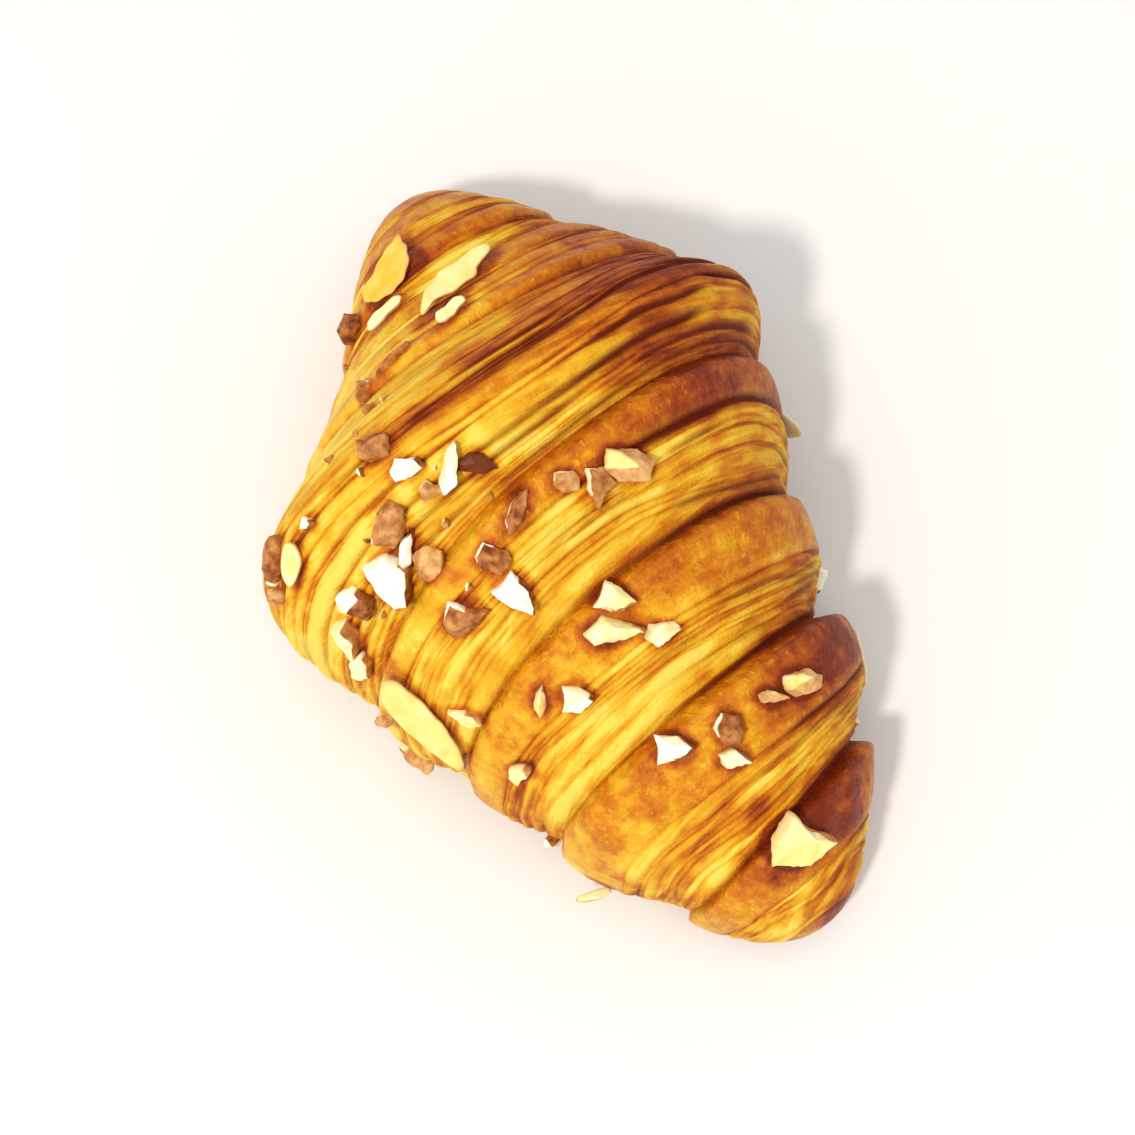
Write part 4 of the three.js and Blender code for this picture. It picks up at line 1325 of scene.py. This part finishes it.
# %% Crumbs of almond
CRUMB_SEED = 53
CRUMB_COUNT = 14
CRUMB_WIDTH, CRUMB_HEIGHT = 0.7, 0.5  # shares of its length
CRUMB_SIZES = (0.8, 1.6)  # mm
CRUMB_DISTANCES = (2.5, 8.0)  # mm from the middle of its nut
MEAN_RADIUS = 38  # mm, of the roll, to turn a distance into an angle


def almond_crumbs():
    """Small shards, each at a random distance and way from the middle of one nut."""
    random = np.random.default_rng(CRUMB_SEED)
    crumbs = []
    for i in range(CRUMB_COUNT):
        along, around = CHUNKS[i % len(CHUNKS)][:2]
        way, distance = random.uniform(0, 2 * math.pi), random.uniform(*CRUMB_DISTANCES)
        along = along + distance * math.cos(way)
        around = around + math.degrees(distance * math.sin(way) / MEAN_RADIUS)
        long = random.uniform(*CRUMB_SIZES)
        turn, face = 180 * random.uniform(), ("skin", "skin", "mixed")[i % 3]
        outline = tuple(OUTLINES)[i % len(OUTLINES)]
        crumbs.append((along, around, long, CRUMB_WIDTH * long, CRUMB_HEIGHT * long, turn, outline, face))
    return chopped("almond_crumbs", crumbs, random)


crumbs = almond_crumbs()
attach(crumbs, "root")

# %% Almond finishes
# Roasted almond flesh is cream and faintly waxy, a touch golden where the oven caught it.
FLESH_COLOURS = {0.0: "#fbf7ea", 0.3: "#f4e6b4", 0.55: "#f0d680", 1.0: "#ecb230"}
# An almond's skin is a dry, ribbed brown paper, lighter on its ribs.
SKIN_COLOURS = {0.0: "#6a2c08", 0.2: "#96541f", 0.45: "#b87a3e", 0.8: "#d8a868"}
# Size of the patches in mm and their detail, and how much they change the tone
TOASTED, RIBS = (2.2, 3.0), (1.3, 2.0)
TOASTED_TONE, RIB_TONE = 0.12, 0.22
GOLD_LEAST = 0.5  # how golden the palest flesh turns, as a share of its tone
ALMOND_ROUGHNESS, ALMOND_GLOSS = 0.55, 0.3
RIB_HEIGHT, RIB_STRENGTH = 0.12, 0.35  # mm


def almond_material(name, mask_name, skin_where_high):
    """Flesh and skin mixed by one of the mesh's channels, each coloured by the piece's tone."""
    material, tree = new_material(name)
    place = add(tree, "ShaderNodeTexCoord").outputs["Object"]
    mask, tone = (
        add(tree, "ShaderNodeAttribute", {"attribute_name": channel}).outputs["Fac"]
        for channel in (mask_name, "tone")
    )
    toast, ribs = (
        add(tree, "ShaderNodeTexNoise", Vector=place, Scale=per_metre(size), Detail=detail)
        for size, detail in (TOASTED, RIBS)
    )
    toasted = add(tree, "ShaderNodeMapRange", Value=toast, **swing(TOASTED_TONE))
    ribbed = add(tree, "ShaderNodeMapRange", Value=ribs, **swing(RIB_TONE))
    golden = total(tree, [faded(tree, tone, tone, GOLD_LEAST), toasted])
    flesh = add(tree, "ShaderNodeValToRGB", stops=FLESH_COLOURS, Fac=golden)
    skin = add(tree, "ShaderNodeValToRGB", stops=SKIN_COLOURS, Fac=total(tree, [tone, ribbed]))
    first, second = (flesh, skin) if skin_where_high else (skin, flesh)
    colour = add(tree, "ShaderNodeMix", {"data_type": "RGBA"}, _0=mask, _6=first, _7=second)
    bump = add(tree, "ShaderNodeBump", Strength=RIB_STRENGTH, Distance=RIB_HEIGHT * MM, Height=ribs)
    surface = add(
        tree,
        "ShaderNodeBsdfPrincipled",
        Base_Color=colour.outputs[2],
        Roughness=ALMOND_ROUGHNESS,
        Normal=bump,
        Specular_IOR_Level=ALMOND_GLOSS,
    )
    add(tree, "ShaderNodeOutputMaterial", Surface=surface)
    return material


chopped_almond = almond_material("chopped_almond", "cut", False)
chunks.data.materials.append(chopped_almond)
crumbs.data.materials.append(chopped_almond)
sliced_almond = almond_material("sliced_almond", "rim", True)
slices.data.materials.append(sliced_almond)
for almond in (chopped_almond, sliced_almond):
    print(almond.name, "has", len(almond.node_tree.nodes), "nodes")

# %% [markdown]
# ## The studio
#
# The floor is plain and pale. More lamps could stand round it, but the photograph has one soft shine on
# the crust and hardly a shadow. So there is one key light, to the lower left of the picture and near the
# camera, and a pale sky that fills the shadows.

# %% Floor, lights and sky
FLOOR_SIZE = 3.0  # m
FLOOR_COLOUR, FLOOR_ROUGHNESS = "#e3e1de", 0.9


def make_floor():
    """A square at z = 0, which only the render has."""
    mesh = bpy.data.meshes.new("floor")
    half = FLOOR_SIZE / 2
    corners = [(-half, -half, 0), (half, -half, 0), (half, half, 0), (-half, half, 0)]
    mesh.from_pydata(corners, [], [(0, 1, 2, 3)])
    floor = bpy.data.objects.new("floor", mesh)
    bpy.context.scene.collection.objects.link(floor)
    material, tree = new_material("floor_paint")
    surface = add(
        tree, "ShaderNodeBsdfPrincipled", Base_Color=linear(FLOOR_COLOUR), Roughness=FLOOR_ROUGHNESS
    )
    add(tree, "ShaderNodeOutputMaterial", Surface=surface)
    mesh.materials.append(material)


def add_light(name, right, up, towards, distance, size, power, colour):
    """An area light, placed by the picture's own directions: its effect can be read off the photograph."""
    light_data = bpy.data.lights.new(name, "AREA")
    light_data.shape = "DISK"
    light_data.size = size
    light_data.energy = power
    light_data.color = linear(colour)[:3]
    light = bpy.data.objects.new(name, light_data)
    bpy.context.scene.collection.objects.link(light)
    way = (PICTURE_RIGHT * right + PICTURE_UP * up + TOWARDS_CAMERA * towards).normalized()
    light.location = LOOK_AT + way * distance
    light.rotation_euler = (-way).to_track_quat("-Z", "Y").to_euler()


def make_sky(strength, colour):
    """Light of one colour and strength from every side."""
    world = bpy.data.worlds.new("studio_sky")
    world.use_nodes = True
    background = world.node_tree.nodes["Background"]
    background.inputs["Color"].default_value = linear(colour)
    background.inputs["Strength"].default_value = strength
    bpy.context.scene.world = world


make_floor()
add_light(
    "key", right=-0.31, up=-0.19, towards=0.93, distance=0.9, size=0.09, power=5.0, colour="#fffaf0"
)
make_sky(strength=0.94, colour="#ffffff")
bpy.context.scene.view_settings.view_transform = "Standard"
print("lights:", [light.name for light in bpy.data.lights])
